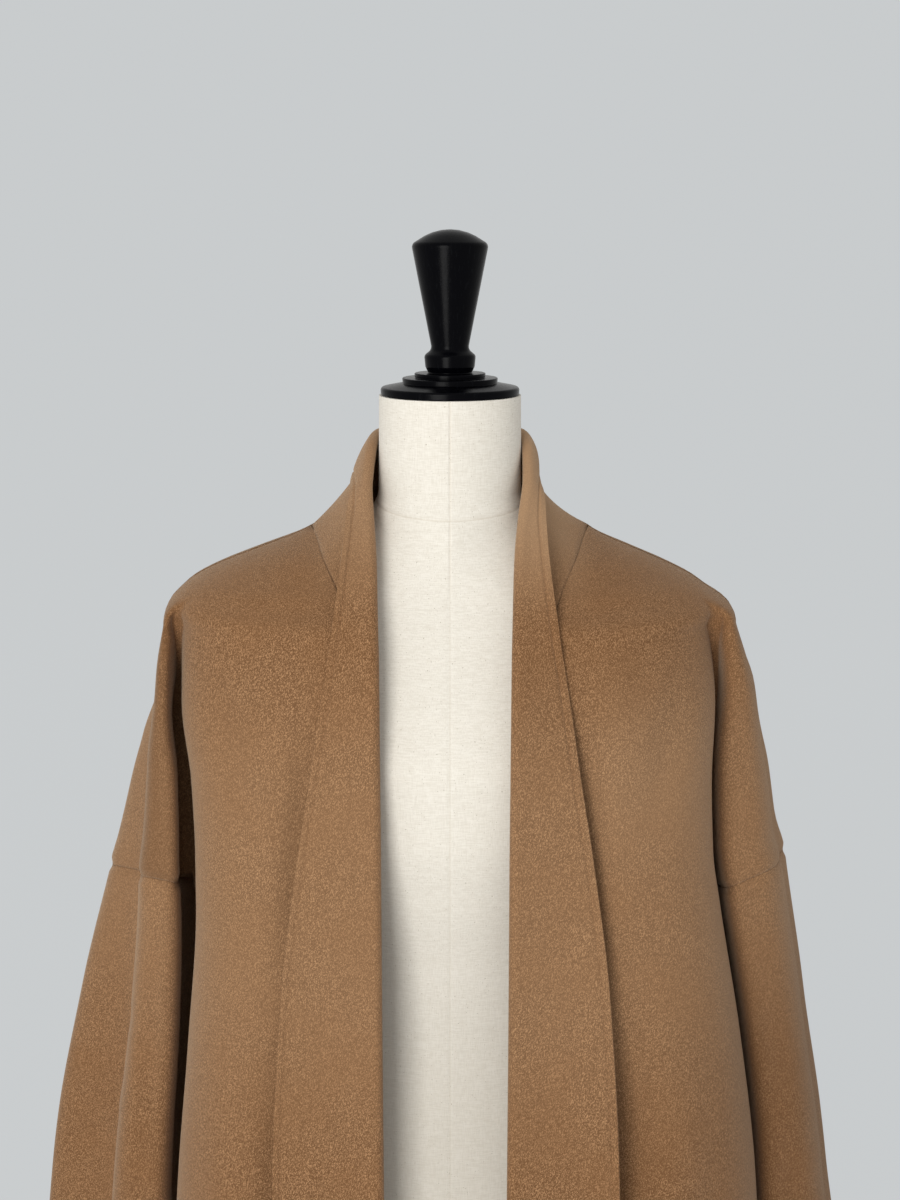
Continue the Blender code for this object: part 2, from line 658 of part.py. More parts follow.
# Shawl collar halves: stand, roll and fall round the neck, then the turned-back band down to the hem
def collar_guides(side):
    """Seam, roll line and free edge of one collar half, station by station on the positive side."""
    neck = resample(yoke_points(side, NECK_POINT_Z)[BODY_COLUMNS + ARM_COLUMNS - 2:][::-1], NECK_COLUMNS)
    stations = []
    seams = [(number / (len(neck) - 1), point) for number, point in enumerate(neck)]
    for height in YOKE_ROWS[1:COLLAR_ROWS] + (CORNER_Z,):
        place = 1.0 + (NECK_POINT_Z - height) / (NECK_POINT_Z - CORNER_Z)
        seams.append((place, yoke_points(side, height)[0]))
    for place, seam in seams:
        value = {name: smooth(COLLAR, name, place, "place") for name in Collar._fields[1:]}
        shift = SIDE_SHIFT[side] * ease(place - SHIFT_START)
        fold = np.array([value["fold_x"] + shift, value["fold_y"], value["fold_z"]])
        lean = ease(1 - abs(place - 1.0) / LEAN_REACH)
        edge_x = value["edge_x"] + shift + EDGE_LEAN[side] * lean
        edge = np.array([edge_x, value["edge_y"], value["edge_z"]])
        stations.append((seam, fold, edge, value["bow"] + BOW_LEAN[side] * lean, value["roll"]))
    for height in LAPEL_ROWS + (HEM_Z,):
        seam = np.array([smooth(SEAM, "x", height), 0.0, height])
        seam[1] = body_arc(side, height, -1, seam[0], MID_Y)[0, 1]
        front = smooth(BODY, "front", height)
        fold = np.array([smooth(LAPEL, "fold", height) + SIDE_SHIFT[side], -front - FOLD_LEAD, height])
        edge_x = smooth(LAPEL, "edge", height) + SIDE_SHIFT[side]
        edge_y = body_arc(side, height, -1, edge_x, MID_Y)[0, 1]
        edge = np.array([edge_x, edge_y - CLOTH / 2 - EDGE_CLEARANCE, height])
        stations.append((seam, fold, edge, COLLAR[-1].bow, COLLAR[-1].roll))
    return stations


def bezier(start, control, end, count):
    """Curve with one control point."""
    t = np.linspace(0.0, 1.0, count)[:, None]
    return (1 - t) ** 2 * start + 2 * t * (1 - t) * control + t * t * end


def collar_half(side, material):
    stations = collar_guides(side)
    folds = np.array([station[1] for station in stations])
    along = unit(np.gradient(folds, axis=0))
    along[0] = (1.0, 0.0, 0.0)
    outer = []
    inner = []
    for (seam, fold, edge, bow, radius), forward in zip(stations, along):
        across = seam - fold
        across = unit(across - forward * across.dot(forward))
        lift = np.cross(forward, across)
        if lift.dot((fold[0], fold[1], 0.0)) < 0:
            lift = -lift
        local = [np.array([(p - fold).dot(across), (p - fold).dot(lift)]) for p in (seam, edge)]
        slip = [(p - fold).dot(forward) for p in (seam, edge)]
        under_start = local[0] - [COLLAR_GAP, CLOTH / 2]
        under = bezier(under_start, np.array([local[0][0] * 0.5, -radius - bow]),
                       np.array([radius, -radius]), UNDER_POINTS)
        angles = np.linspace(1.5 * math.pi, 0.5 * math.pi, ROLL_POINTS)
        roll = np.array([[radius + radius * math.cos(a), radius * math.sin(a)] for a in angles])
        upper = bezier(np.array([radius, radius]), np.array([local[1][0] * 0.5, radius]), local[1],
                       UPPER_POINTS)
        line = np.concatenate([under, roll[1:], upper[1:]])
        drift = np.concatenate([np.linspace(slip[0], 0.0, UNDER_POINTS), np.zeros(ROLL_POINTS - 1),
                                np.linspace(0.0, slip[1], UPPER_POINTS)[1:]])
        tangent = unit(np.gradient(line, axis=0))
        side_step = np.stack([tangent[:, 1], -tangent[:, 0]], axis=1) * CLOTH / 2
        for face, points in ((outer, line - side_step), (inner, line + side_step)):
            placed = fold + points[:, :1] * across + points[:, 1:] * lift + drift[:, None] * forward
            face += list(mirror(placed, side))
    count = len(outer) // len(stations)
    for face in (outer, inner):
        for number in range(count):
            face[number] = face[number] * [0.0, 1.0, 1.0] + [SIGN[side] * SEAM_GAP / 2, 0.0, 0.0]
    quads = []
    for row in range(len(stations) - 1):
        for column in range(count - 1):
            a = row * count + column
            quads.append((a, a + 1, a + count + 1, a + count))
    return wall("collar_" + side, outer, inner, quads, material)


# Dress form: padded torso with a neck, smooth linen cover
def form_torso(material):
    drop = (CLOTH + FORM_CLEARANCE) / math.cos(SHOULDER_SLOPE)
    sink = min(RIDGE_SHIFT.values())
    shoulders = []
    for row, square in zip(SHOULDER, SHOULDER_SQUARE):
        height = row.height - drop
        shoulders.append(Torso(height, row.ridge + sink * slump(row.height),
                               smooth(NECK + CHEST, "front", height), smooth(NECK + CHEST, "back", height),
                               square))
    rings = list(NECK) + shoulders + list(CHEST)
    mesh = bpy.data.meshes.new("form_torso")
    shape = bmesh.new()
    loops = []
    for ring in rings:
        loop = []
        centre = MID_Y * ease((NECK_POINT_Z + NECK_LEAN - ring.height) / NECK_LEAN)
        for step in range(TORSO_SIDES):
            angle = 2 * math.pi * step / TORSO_SIDES
            depth = ring.back - centre if math.cos(angle) > 0 else ring.front + centre
            x = ring.half_width * power(math.sin(angle), 2 / ring.square)
            y = centre + depth * power(math.cos(angle), 2 / ring.square)
            loop.append(shape.verts.new((x, y, ring.height)))
        loops.append(loop)
    for above, below in zip(loops, loops[1:]):
        for step in range(TORSO_SIDES):
            after = (step + 1) % TORSO_SIDES
            shape.faces.new((above[step], above[after], below[after], below[step]))
    shape.faces.new(loops[0][::-1])
    shape.faces.new(loops[-1])
    shape.to_mesh(mesh)
    shape.free()
    return finish("form_torso", mesh, material)


for item in list(bpy.data.objects):
    bpy.data.objects.remove(item, do_unlink=True)

wool = paint("camel_wool", (0.305, 0.166, 0.082), 0.9)
linen = paint("natural_linen", (0.80, 0.76, 0.67), 0.85)
lacquer = paint("black_lacquered_wood", (0.006, 0.006, 0.008), 0.25)
steel = paint("black_painted_steel", (0.012, 0.012, 0.014), 0.4)

for name in ("left", "right"):
    front_panel(name, wool)
    sleeve(name, wool)
    collar_half(name, wool)
back_panel(wool)
form_torso(linen)

# Turned knob that covers the neck: dome, cone, bead, two steps and a wide disc
lathe("neck_cap", (
    (0.0, 1.6050), (0.0100, 1.6042), (0.0190, 1.6008), (0.0260, 1.5958), (0.0288, 1.5920), (0.0285, 1.5885),
    (0.0225, 1.5560), (0.0165, 1.5235), (0.0144, 1.5160), (0.0152, 1.5122), (0.0186, 1.5095),
    (0.0197, 1.5060), (0.0190, 1.5020), (0.0172, 1.4962), (0.0268, 1.4957), (0.0277, 1.4945),
    (0.0275, 1.4922), (0.0365, 1.4920), (0.0373, 1.4905), (0.0370, 1.4880), (0.0500, 1.4855),
    (0.0536, 1.4842), (0.0541, 1.4820), (0.0538, NECK_TOP_Z + 0.0010), (0.0530, NECK_TOP_Z + FIT_GAP),
    (0.0, NECK_TOP_Z + FIT_GAP),
), lacquer)

# Plain steel pole between the torso and the base
lathe("stand_pole", (
    (0.0, TORSO_BOTTOM_Z - FIT_GAP), (POLE_RADIUS, TORSO_BOTTOM_Z - FIT_GAP),
    (POLE_RADIUS, BASE_TOP_Z + FIT_GAP), (0.0, BASE_TOP_Z + FIT_GAP),
), steel)

# Heavy round base, flat underneath
lathe("stand_base", (
    (0.0, BASE_TOP_Z), (0.030, BASE_TOP_Z), (0.060, 0.0230), (0.150, 0.0180), (0.166, 0.0150),
    (BASE_RADIUS, 0.0090), (BASE_RADIUS, 0.0), (0.0, 0.0),
), steel)
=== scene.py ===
import math
from collections import namedtuple

import bmesh
import bpy
import numpy as np
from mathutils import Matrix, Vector


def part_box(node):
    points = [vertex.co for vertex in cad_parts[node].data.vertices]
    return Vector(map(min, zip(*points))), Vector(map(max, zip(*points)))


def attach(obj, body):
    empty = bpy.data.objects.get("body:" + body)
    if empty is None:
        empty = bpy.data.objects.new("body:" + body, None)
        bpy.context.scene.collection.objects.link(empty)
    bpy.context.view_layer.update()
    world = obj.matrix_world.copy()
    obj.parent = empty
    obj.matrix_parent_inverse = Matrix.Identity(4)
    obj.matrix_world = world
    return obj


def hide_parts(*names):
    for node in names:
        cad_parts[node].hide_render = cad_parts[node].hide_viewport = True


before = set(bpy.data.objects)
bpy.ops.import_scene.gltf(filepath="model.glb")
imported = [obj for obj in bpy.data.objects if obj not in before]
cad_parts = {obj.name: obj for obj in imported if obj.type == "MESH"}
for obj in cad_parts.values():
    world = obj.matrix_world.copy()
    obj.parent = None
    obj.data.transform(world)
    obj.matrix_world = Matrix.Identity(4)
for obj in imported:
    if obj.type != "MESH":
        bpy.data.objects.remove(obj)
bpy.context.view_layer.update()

# View, backdrop and light: a plain pale studio. The camera stands a little above the coat's shoulders and
# looks slightly down. The backdrop is a wide bowl of matt grey card, floor and wall in one. One tall soft box
# in front on the left, like a window that reaches nearly to the floor, lights the coat under an even sky.
LENS_MM = 50.0
CAMERA_PLACE = (0.0, -1.308, 1.601)
CAMERA_TILT = math.radians(90.0 - 12.37)
FLOOR_RADIUS = 5.2
BOWL_RADIUS = 2.6
WALL_TOP = 5.5
BOWL_STEP = 6
BACKDROP_SIDES = 96
CARD_GREY = (0.10, 0.10, 0.10, 1.0)
CARD_DIM = (0.097, 0.097, 0.097, 1.0)
CARD_GLOW = (0.515, 0.535, 0.545, 1.0)
CARD_MOTTLE = 0.7
SKY_GREY = (1.0, 1.0, 0.99, 1.0)
SKY_STRENGTH = 0.62
WINDOW_PLACE = Vector((-0.95, -2.70, 1.70))
WINDOW_AIM = Vector((0.0, 0.0, 1.15))
WINDOW_WIDTH = 1.2
WINDOW_HEIGHT = 2.9
WINDOW_WATTS = 60.0
WINDOW_TINT = (1.0, 0.99, 0.97)


class Wire:
    """A node socket of a material. Arithmetic on it adds Math nodes."""

    def __init__(self, tree, socket=None):
        self.tree = tree
        self.socket = socket

    def node(self, kind, settings, values, out=0):
        """Adds a node with its settings and its sockets' values or links, and gives one of its outputs."""
        made = self.tree.nodes.new(kind)
        for name, value in settings.items():
            setattr(made, name, value)
        for key, value in values.items():
            if isinstance(value, Wire):
                self.tree.links.new(value.socket, made.inputs[key])
            else:
                made.inputs[key].default_value = value
        return Wire(self.tree, made.outputs[out])

    def math(self, operation, *terms):
        return self.node("ShaderNodeMath", {"operation": operation}, dict(enumerate(terms)))

    def __add__(self, other):
        return self.math("ADD", self, other)

    def __radd__(self, other):
        return self.math("ADD", other, self)

    def __sub__(self, other):
        return self.math("SUBTRACT", self, other)

    def __rsub__(self, other):
        return self.math("SUBTRACT", other, self)

    def __mul__(self, other):
        return self.math("MULTIPLY", self, other)

    def __rmul__(self, other):
        return self.math("MULTIPLY", other, self)

    def __abs__(self):
        return self.math("ABSOLUTE", self)

    def range(self, low, high):
        """Soft step from 0 to 1 between two limits."""
        return self.node("ShaderNodeMapRange", {"interpolation_type": "SMOOTHSTEP"},
                         {"Value": self, "From Min": low, "From Max": high})

    def band(self, rise, full, fade, end):
        """Soft step up between the first two limits and down between the last two."""
        return self.range(rise, full) - self.range(fade, end)

    def mix(self, first, second):
        """Colour between two colours, with this value as the share of the second."""
        return self.node("ShaderNodeMix", {"data_type": "RGBA"}, {0: self, 6: first, 7: second}, 2)

    def places(self):
        """Positions on the object in metres."""
        return self.node("ShaderNodeTexCoord", {}, {}, "Object")

    def vector(self, operation, values, out=0):
        """Vector Math on numbered sockets."""
        return self.node("ShaderNodeVectorMath", {"operation": operation}, values, out)

    def stretched(self, x, y, z):
        """This vector with its axes scaled."""
        return self.vector("MULTIPLY", {0: self, 1: (x, y, z)})

    def axis(self, number):
        return self.node("ShaderNodeSeparateXYZ", {}, {0: self}, number)

    def noise(self, scale, detail, roughness=0.55):
        return self.node("ShaderNodeTexNoise", {}, {"Vector": self, "Scale": scale, "Detail": detail,
                                                    "Roughness": roughness})

    def bump(self, depth, strength):
        return self.node("ShaderNodeBump", {}, {"Height": self, "Distance": depth, "Strength": strength})


def finish(name, constants):
    """A material with its constant values set, its shader and a wire to build on."""
    material = bpy.data.materials.new(name)
    material.use_nodes = True
    shader = material.node_tree.nodes["Principled BSDF"]
    for socket, value in constants.items():
        shader.inputs[socket].default_value = value
    return material, shader, Wire(material.node_tree)


def feed(shader, socket, wire):
    wire.tree.links.new(wire.socket, shader.inputs[socket])


def mesh_of(name, points, faces):
    mesh = bpy.data.meshes.new(name)
    mesh.from_pydata(np.asarray(points).tolist(), [], faces)
    return mesh


def placed(name, mesh, material):
    """Smooth-shaded object of a mesh, in the scene."""
    mesh.materials.append(material)
    mesh.shade_smooth()
    item = bpy.data.objects.new(name, mesh)
    bpy.context.scene.collection.objects.link(item)
    return item


def turned(name, profile, sides, material):
    """Turned surface from a profile of radii and heights that starts and ends on the axis or open."""
    points = []
    rings = []
    for radius, height in profile:
        count = 1 if radius == 0 else sides
        rings.append(range(len(points), len(points) + count))
        for step in range(count):
            angle = 2 * math.pi * step / sides
            points.append((radius * math.sin(angle), -radius * math.cos(angle), height))
    faces = []
    for upper, lower in zip(rings, rings[1:]):
        for step in range(sides):
            after = (step + 1) % sides
            corners = [upper[step % len(upper)], lower[step % len(lower)],
                       lower[after % len(lower)], upper[after % len(upper)]]
            faces.append(tuple(dict.fromkeys(corners)))
    return placed(name, mesh_of(name, points, faces), material)


camera = bpy.data.objects.new("camera", bpy.data.cameras.new("camera"))
camera.data.lens = LENS_MM
camera.location = CAMERA_PLACE
camera.rotation_euler = (CAMERA_TILT, 0.0, 0.0)
bpy.context.scene.collection.objects.link(camera)
bpy.context.scene.camera = camera
bpy.context.scene.view_settings.view_transform = "Standard"

sky = bpy.data.worlds.new("sky")
sky.use_nodes = True
sky.node_tree.nodes["Background"].inputs["Color"].default_value = SKY_GREY
sky.node_tree.nodes["Background"].inputs["Strength"].default_value = SKY_STRENGTH
bpy.context.scene.world = sky

lamp = bpy.data.lights.new("window", "AREA")
lamp.shape = "RECTANGLE"
lamp.size = WINDOW_WIDTH
lamp.size_y = WINDOW_HEIGHT
lamp.energy = WINDOW_WATTS
lamp.color = WINDOW_TINT
window = bpy.data.objects.new("window", lamp)
window.location = WINDOW_PLACE
window.rotation_euler = (WINDOW_AIM - WINDOW_PLACE).to_track_quat("-Z", "Y").to_euler()
window.visible_camera = False
bpy.context.scene.collection.objects.link(window)

card, card_shader, card_wire = finish("matt_card", {
    "Roughness": 0.95, "Specular IOR Level": 0.1, "Emission Color": CARD_GLOW, "Emission Strength": 1.0,
})
feed(card_shader, "Base Color", card_wire.places().noise(CARD_MOTTLE, 1.0).mix(CARD_GREY, CARD_DIM))
bowl = [(0.0, 0.0), (FLOOR_RADIUS, 0.0)]
for degrees in range(BOWL_STEP, 90 + BOWL_STEP, BOWL_STEP):
    turn = math.radians(degrees)
    bowl.append((FLOOR_RADIUS + BOWL_RADIUS * math.sin(turn), BOWL_RADIUS * (1 - math.cos(turn))))
bowl.append((FLOOR_RADIUS + BOWL_RADIUS, WALL_TOP))
backdrop = turned("backdrop", bowl, BACKDROP_SIDES, card)
backdrop.visible_diffuse = False
backdrop.visible_glossy = False


# Torso of the dress form: a hard padded shell without arms, covered in unbleached linen. The cover is cut in
# panels with a seam down the centre front and back, and the neck is a separate band sewn on round its base.
MID_Y = 0.012
NECK_BASE_Z = 1.3935
NECK_BLEND = 0.02
TORSO_COLUMNS = 220
TORSO_ROW = 0.004
SEAM_ROW = 0.001
SEAM_ROWS_TOP = 1.4080
SEAM_ROWS_LOW = 1.3860
RIM_ANGLE = math.radians(50.0)
CENTRE_CROWD = 0.78
SEAM_HALF = 0.0016
SEAM_DEPTH = 0.0006
NECK_SEAM_MEAN = 1.3975
NECK_SEAM_DIP = 0.0089
NECK_RADIUS = 0.058
LINEN_PALE = (0.80, 0.765, 0.69, 1.0)
LINEN_DARK = (0.70, 0.660, 0.580, 1.0)
# Colour of the flecks in the weave, also mixed in low down as painted shade
LINEN_FLECK_AND_SHADE = (0.30, 0.25, 0.18, 1.0)
LINEN_THREAD = (0.52, 0.45, 0.35, 1.0)
WEFT_GRAIN = 1500.0
WEFT_SHARE = 0.5
WARP_GRAIN = 1400.0
WARP_SHARE = 0.4
THREAD_RUN = 0.10
SLUB_GRAIN = 420.0
SLUB_SHARE = 0.1
SLUB_RUN = 0.06
WEAVE_CONTRAST = (0.34, 0.66)
WEAVE_DEPTH = 0.0003
WEAVE_RELIEF = 0.30
FLECK_GRAIN = 1200.0
FLECK_RUN = 0.7
FLECK_LIMITS = (0.80, 0.83)
FLECK_SHARE = 0.7
CENTRE_LINE = (0.0003, 0.0009)
CENTRE_SHARE = 0.16
NECK_LINE = (0.0002, 0.0008)
NECK_SHARE = 0.30
# Painted shade: the linen darkens towards the waist, where the coat's lapels shade it
LOW_LINEN_SHADE_Z = (0.86, 1.10)
LOW_LINEN_SHADE_SHARE = 0.22

Torso = namedtuple("Torso", "height half_width front back square")
TORSO = (
    Torso(1.4785, 0.0555, 0.0555, 0.0555, 2.0),
    Torso(1.4350, 0.0560, 0.0560, 0.0560, 2.0),
    Torso(1.4050, 0.0565, 0.0570, 0.0570, 2.0),
    Torso(1.3940, 0.0600, 0.0590, 0.0610, 2.0),
    Torso(1.3830, 0.0725, 0.0620, 0.0680, 1.7),
    Torso(1.3690, 0.1040, 0.0650, 0.0721, 1.5),
    Torso(1.3510, 0.1455, 0.0693, 0.0778, 1.6),
    Torso(1.3370, 0.1760, 0.0726, 0.0820, 1.9),
    Torso(1.3280, 0.1915, 0.0750, 0.0850, 2.2),
    Torso(1.3080, 0.1950, 0.0830, 0.0890, 2.2),
    Torso(1.2800, 0.1925, 0.0940, 0.0930, 2.2),
    Torso(1.2400, 0.1830, 0.1105, 0.0970, 2.2),
    Torso(1.2000, 0.1690, 0.1230, 0.0970, 2.2),
    Torso(1.1500, 0.1530, 0.1220, 0.0930, 2.2),
    Torso(1.1000, 0.1360, 0.1130, 0.0860, 2.2),
    Torso(1.0400, 0.1260, 0.1010, 0.0830, 2.2),
    Torso(0.9800, 0.1360, 0.0985, 0.0940, 2.2),
    Torso(0.9000, 0.1600, 0.1030, 0.1100, 2.2),
    Torso(0.8300, 0.1690, 0.1050, 0.1160, 2.2),
    Torso(0.7900, 0.1680, 0.1040, 0.1130, 2.2),
    Torso(0.7800, 0.1640, 0.1000, 0.1090, 2.2),
)


def smooth(rows, column, at, key="height"):
    """Value of one table column at a place, joined by monotone curves."""
    table = sorted((getattr(row, key), getattr(row, column)) for row in rows)
    xs = [pair[0] for pair in table]
    ys = [pair[1] for pair in table]
    if at <= xs[0]:
        return ys[0]
    if at >= xs[-1]:
        return ys[-1]
    slopes = [(ys[i + 1] - ys[i]) / (xs[i + 1] - xs[i]) for i in range(len(xs) - 1)]
    tangents = [slopes[0]]
    for before, after in zip(slopes, slopes[1:]):
        tangents.append(2 * before * after / (before + after) if before * after > 0 else 0.0)
    tangents.append(slopes[-1])
    i = max(k for k in range(len(xs) - 1) if xs[k] <= at)
    width = xs[i + 1] - xs[i]
    t = (at - xs[i]) / width
    start = (1 + 2 * t) * (1 - t) ** 2 * ys[i] + t * (1 - t) ** 2 * width * tangents[i]
    return start + t * t * (3 - 2 * t) * ys[i + 1] + t * t * (t - 1) * width * tangents[i + 1]


def ease(value):
    """Soft step from 0 to 1."""
    t = np.clip(value, 0.0, 1.0)
    return t * t * (3 - 2 * t)


def power(values, exponent):
    return np.sign(values) * np.abs(values) ** exponent


def torso_ring(height):
    """One level of the form: points all round from the back, with the seams pressed in."""
    even = np.linspace(0.0, 2 * math.pi, TORSO_COLUMNS, endpoint=False)
    angle = even - CENTRE_CROWD / 2 * np.sin(2 * even)
    half, front, back, square = (smooth(TORSO, column, height) for column in Torso._fields[1:])
    centre = MID_Y * float(ease((NECK_BASE_Z - height) / NECK_BLEND))
    neck_seam = NECK_SEAM_MEAN + NECK_SEAM_DIP * np.cos(angle)
    near_neck = np.clip(1 - np.abs(height - neck_seam) / SEAM_HALF, 0.0, 1.0)
    x = half * power(np.sin(angle), 2 / square)
    near_centre = np.clip(1 - np.abs(x) / SEAM_HALF, 0.0, 1.0)
    depth = np.where(np.cos(angle) > 0, back - centre, front + centre)
    press = 1 - SEAM_DEPTH * ease(np.maximum(near_neck, near_centre)) / depth
    y = centre + depth * press * power(np.cos(angle), 2 / square)
    return np.column_stack([x * press, y, np.full(len(x), height)])


def grid_faces(rows, columns, closed):
    """Quads of a grid of points, row by row."""
    faces = []
    for row in range(rows - 1):
        for column in range(columns if closed else columns - 1):
            after = (column + 1) % columns
            faces.append((row * columns + column, (row + 1) * columns + column,
                          (row + 1) * columns + after, row * columns + after))
    return faces


linen, linen_shader, linen_wire = finish("natural_linen", {
    "Roughness": 0.9, "Specular IOR Level": 0.25, "Sheen Weight": 0.12, "Sheen Roughness": 0.5,
})
linen_places = linen_wire.places()
weft = linen_places.stretched(THREAD_RUN, THREAD_RUN, 1.0).noise(WEFT_GRAIN, 1.0)
warp = linen_places.stretched(1.0, 1.0, THREAD_RUN).noise(WARP_GRAIN, 1.0)
slub = linen_places.stretched(SLUB_RUN, SLUB_RUN, 1.0).noise(SLUB_GRAIN, 2.0)
weave = weft * WEFT_SHARE + warp * WARP_SHARE + slub * SLUB_SHARE
flecks = linen_places.stretched(1.0, 1.0, FLECK_RUN).noise(FLECK_GRAIN, 0.0).range(*FLECK_LIMITS)
linen_height = linen_places.axis(2)
centre_seam = 1 - abs(linen_places.axis(0)).range(*CENTRE_LINE)
neck_seam = linen_height - linen_places.axis(1) * (NECK_SEAM_DIP / NECK_RADIUS) - NECK_SEAM_MEAN
neck_seam = 1 - abs(neck_seam).range(*NECK_LINE)
# Painted shade: the linen is made darker below the bust, towards the waist
low_linen_shade = 1 - linen_height.range(*LOW_LINEN_SHADE_Z)
linen_tone = weave.range(*WEAVE_CONTRAST).mix(LINEN_DARK, LINEN_PALE)
linen_tone = (flecks * FLECK_SHARE).mix(linen_tone, LINEN_FLECK_AND_SHADE)
linen_tone = (centre_seam * CENTRE_SHARE).mix(linen_tone, LINEN_THREAD)
linen_tone = (low_linen_shade * LOW_LINEN_SHADE_SHARE).mix(linen_tone, LINEN_FLECK_AND_SHADE)
feed(linen_shader, "Base Color", (neck_seam * NECK_SHARE).mix(linen_tone, LINEN_THREAD))
feed(linen_shader, "Normal", weave.bump(WEAVE_DEPTH, WEAVE_RELIEF))

torso_rows = np.concatenate([np.arange(TORSO[0].height, SEAM_ROWS_TOP, -TORSO_ROW),
                             np.arange(SEAM_ROWS_TOP, SEAM_ROWS_LOW, -SEAM_ROW),
                             np.arange(SEAM_ROWS_LOW, TORSO[-1].height, -TORSO_ROW), [TORSO[-1].height]])
torso_points = np.concatenate([torso_ring(float(height)) for height in torso_rows])
torso_faces = grid_faces(len(torso_rows), TORSO_COLUMNS, True)
last_ring = (len(torso_rows) - 1) * TORSO_COLUMNS
torso_faces.append(tuple(range(TORSO_COLUMNS))[::-1])
torso_faces.append(tuple(range(last_ring, last_ring + TORSO_COLUMNS)))
torso_mesh = mesh_of("linen_torso", torso_points, [face[::-1] for face in torso_faces])
torso_mesh.set_sharp_from_angle(angle=RIM_ANGLE)
torso = placed("linen_torso", torso_mesh, linen)
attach(torso, "root")
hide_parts("form_torso")


# Neck cap: a turned wooden knob in satin black lacquer that covers the top of the neck. A domed cone stands
# on a bead, two steps and a wide disc, all turned from one piece, with open grain along its length.
CAP_TOP_Z = 1.6050
DOME_RADIUS = 0.0413
DOME_STEPS = (0.0, 0.007, 0.014, 0.020)
CAP_UNDER_Z = 1.4788
FILLET_STEPS = 6
CAP_SIDES = 128
TURNED_ANGLE = math.radians(35.0)
GRAIN_SCALE = 620.0
GRAIN_RUN = 0.09
PORE_LIMITS = (0.56, 0.70)
PORE_DEPTH = 0.0002
PORE_RELIEF = 0.25
LACQUER_ROUGHNESS = 0.12
GRAIN_ROUGHNESS = 0.20
LACQUER_BLACK = (0.0008, 0.0008, 0.0016, 1.0)
LACQUER_WORN = (0.0025, 0.0027, 0.0038, 1.0)

Corner = namedtuple("Corner", "radius height fillet")
CAP = (
    Corner(0.0298, 1.5938, 0.0045),
    Corner(0.0142, 1.5140, 0.0050),
    Corner(0.0201, 1.5092, 0.0034),
    Corner(0.0193, 1.5005, 0.0030),
    Corner(0.0170, 1.4958, 0.0006),
    Corner(0.0278, 1.4957, 0.0008),
    Corner(0.0275, 1.4922, 0.0003),
    Corner(0.0374, 1.4920, 0.0008),
    Corner(0.0370, 1.4880, 0.0005),
    Corner(0.0543, 1.4846, 0.0024),
    Corner(0.0540, CAP_UNDER_Z, 0.0006),
)


def filleted(start, corners, end):
    """Profile through corners rounded with arcs, between two end points."""
    places = [np.array(start)] + [np.array(corner[:2]) for corner in corners] + [np.array(end)]
    line = [tuple(start)]
    for before, corner, after, shape in zip(places, places[1:], places[2:], corners):
        first = (before - corner) / np.linalg.norm(before - corner)
        second = (after - corner) / np.linalg.norm(after - corner)
        half = math.acos(float(np.clip(first @ second, -1.0, 1.0))) / 2
        reach = shape.fillet / math.tan(half)
        middle = corner + (first + second) / np.linalg.norm(first + second) * shape.fillet / math.sin(half)
        for step in range(FILLET_STEPS + 1):
            share = step / FILLET_STEPS
            chord = corner + first * reach * (1 - share) + second * reach * share - middle
            line.append(tuple(middle + chord / np.linalg.norm(chord) * shape.fillet))
    return line + [tuple(end)]


lacquer, lacquer_shader, lacquer_wire = finish("black_lacquered_wood", {
    "IOR": 1.45, "Specular IOR Level": 0.07,
})
grain = lacquer_wire.places().stretched(1.0, 1.0, GRAIN_RUN).noise(GRAIN_SCALE, 3.0, 0.6)
feed(lacquer_shader, "Base Color", grain.range(*PORE_LIMITS).mix(LACQUER_BLACK, LACQUER_WORN))
feed(lacquer_shader, "Roughness", LACQUER_ROUGHNESS + grain * GRAIN_ROUGHNESS)
feed(lacquer_shader, "Normal", grain.bump(PORE_DEPTH, PORE_RELIEF))
dome_centre = CAP_TOP_Z - DOME_RADIUS
dome = [(radius, dome_centre + math.sqrt(DOME_RADIUS ** 2 - radius ** 2)) for radius in DOME_STEPS]
cap_profile = dome[:-1] + filleted(dome[-1], CAP, (0.0, CAP_UNDER_Z))
cap = turned("turned_neck_cap", cap_profile, CAP_SIDES, lacquer)
cap.data.set_sharp_from_angle(angle=TURNED_ANGLE)
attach(cap, "root")
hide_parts("neck_cap")


# Stand: a plain steel tube from the torso down to a heavy round base plate with a bevelled rim, both in
# satin black paint. The pole is set into the torso and screwed to the base from below.
POLE_RADIUS = 0.0125
POLE_SIDES = 48
BASE_FLAT = 0.030
BASE_SIDES = 128
PAINT_GRAIN = 900.0
PAINT_DEPTH = 0.0001
PAINT_RELIEF = 0.3
DUST_GRAIN = 24.0
DUST_LIMITS = (0.45, 0.75)
DUST_SHARE = 0.5
PAINT_ROUGHNESS = 0.38
DUST_ROUGHNESS = 0.12
STEEL_ANGLE = math.radians(40.0)
STEEL_BLACK = (0.010, 0.010, 0.012, 1.0)
STEEL_DUST = (0.030, 0.029, 0.028, 1.0)
BASE = (
    Corner(0.060, 0.0230, 0.060),
    Corner(0.162, 0.0176, 0.020),
    Corner(0.172, 0.0095, 0.004),
    Corner(0.172, 0.0, 0.0010),
)

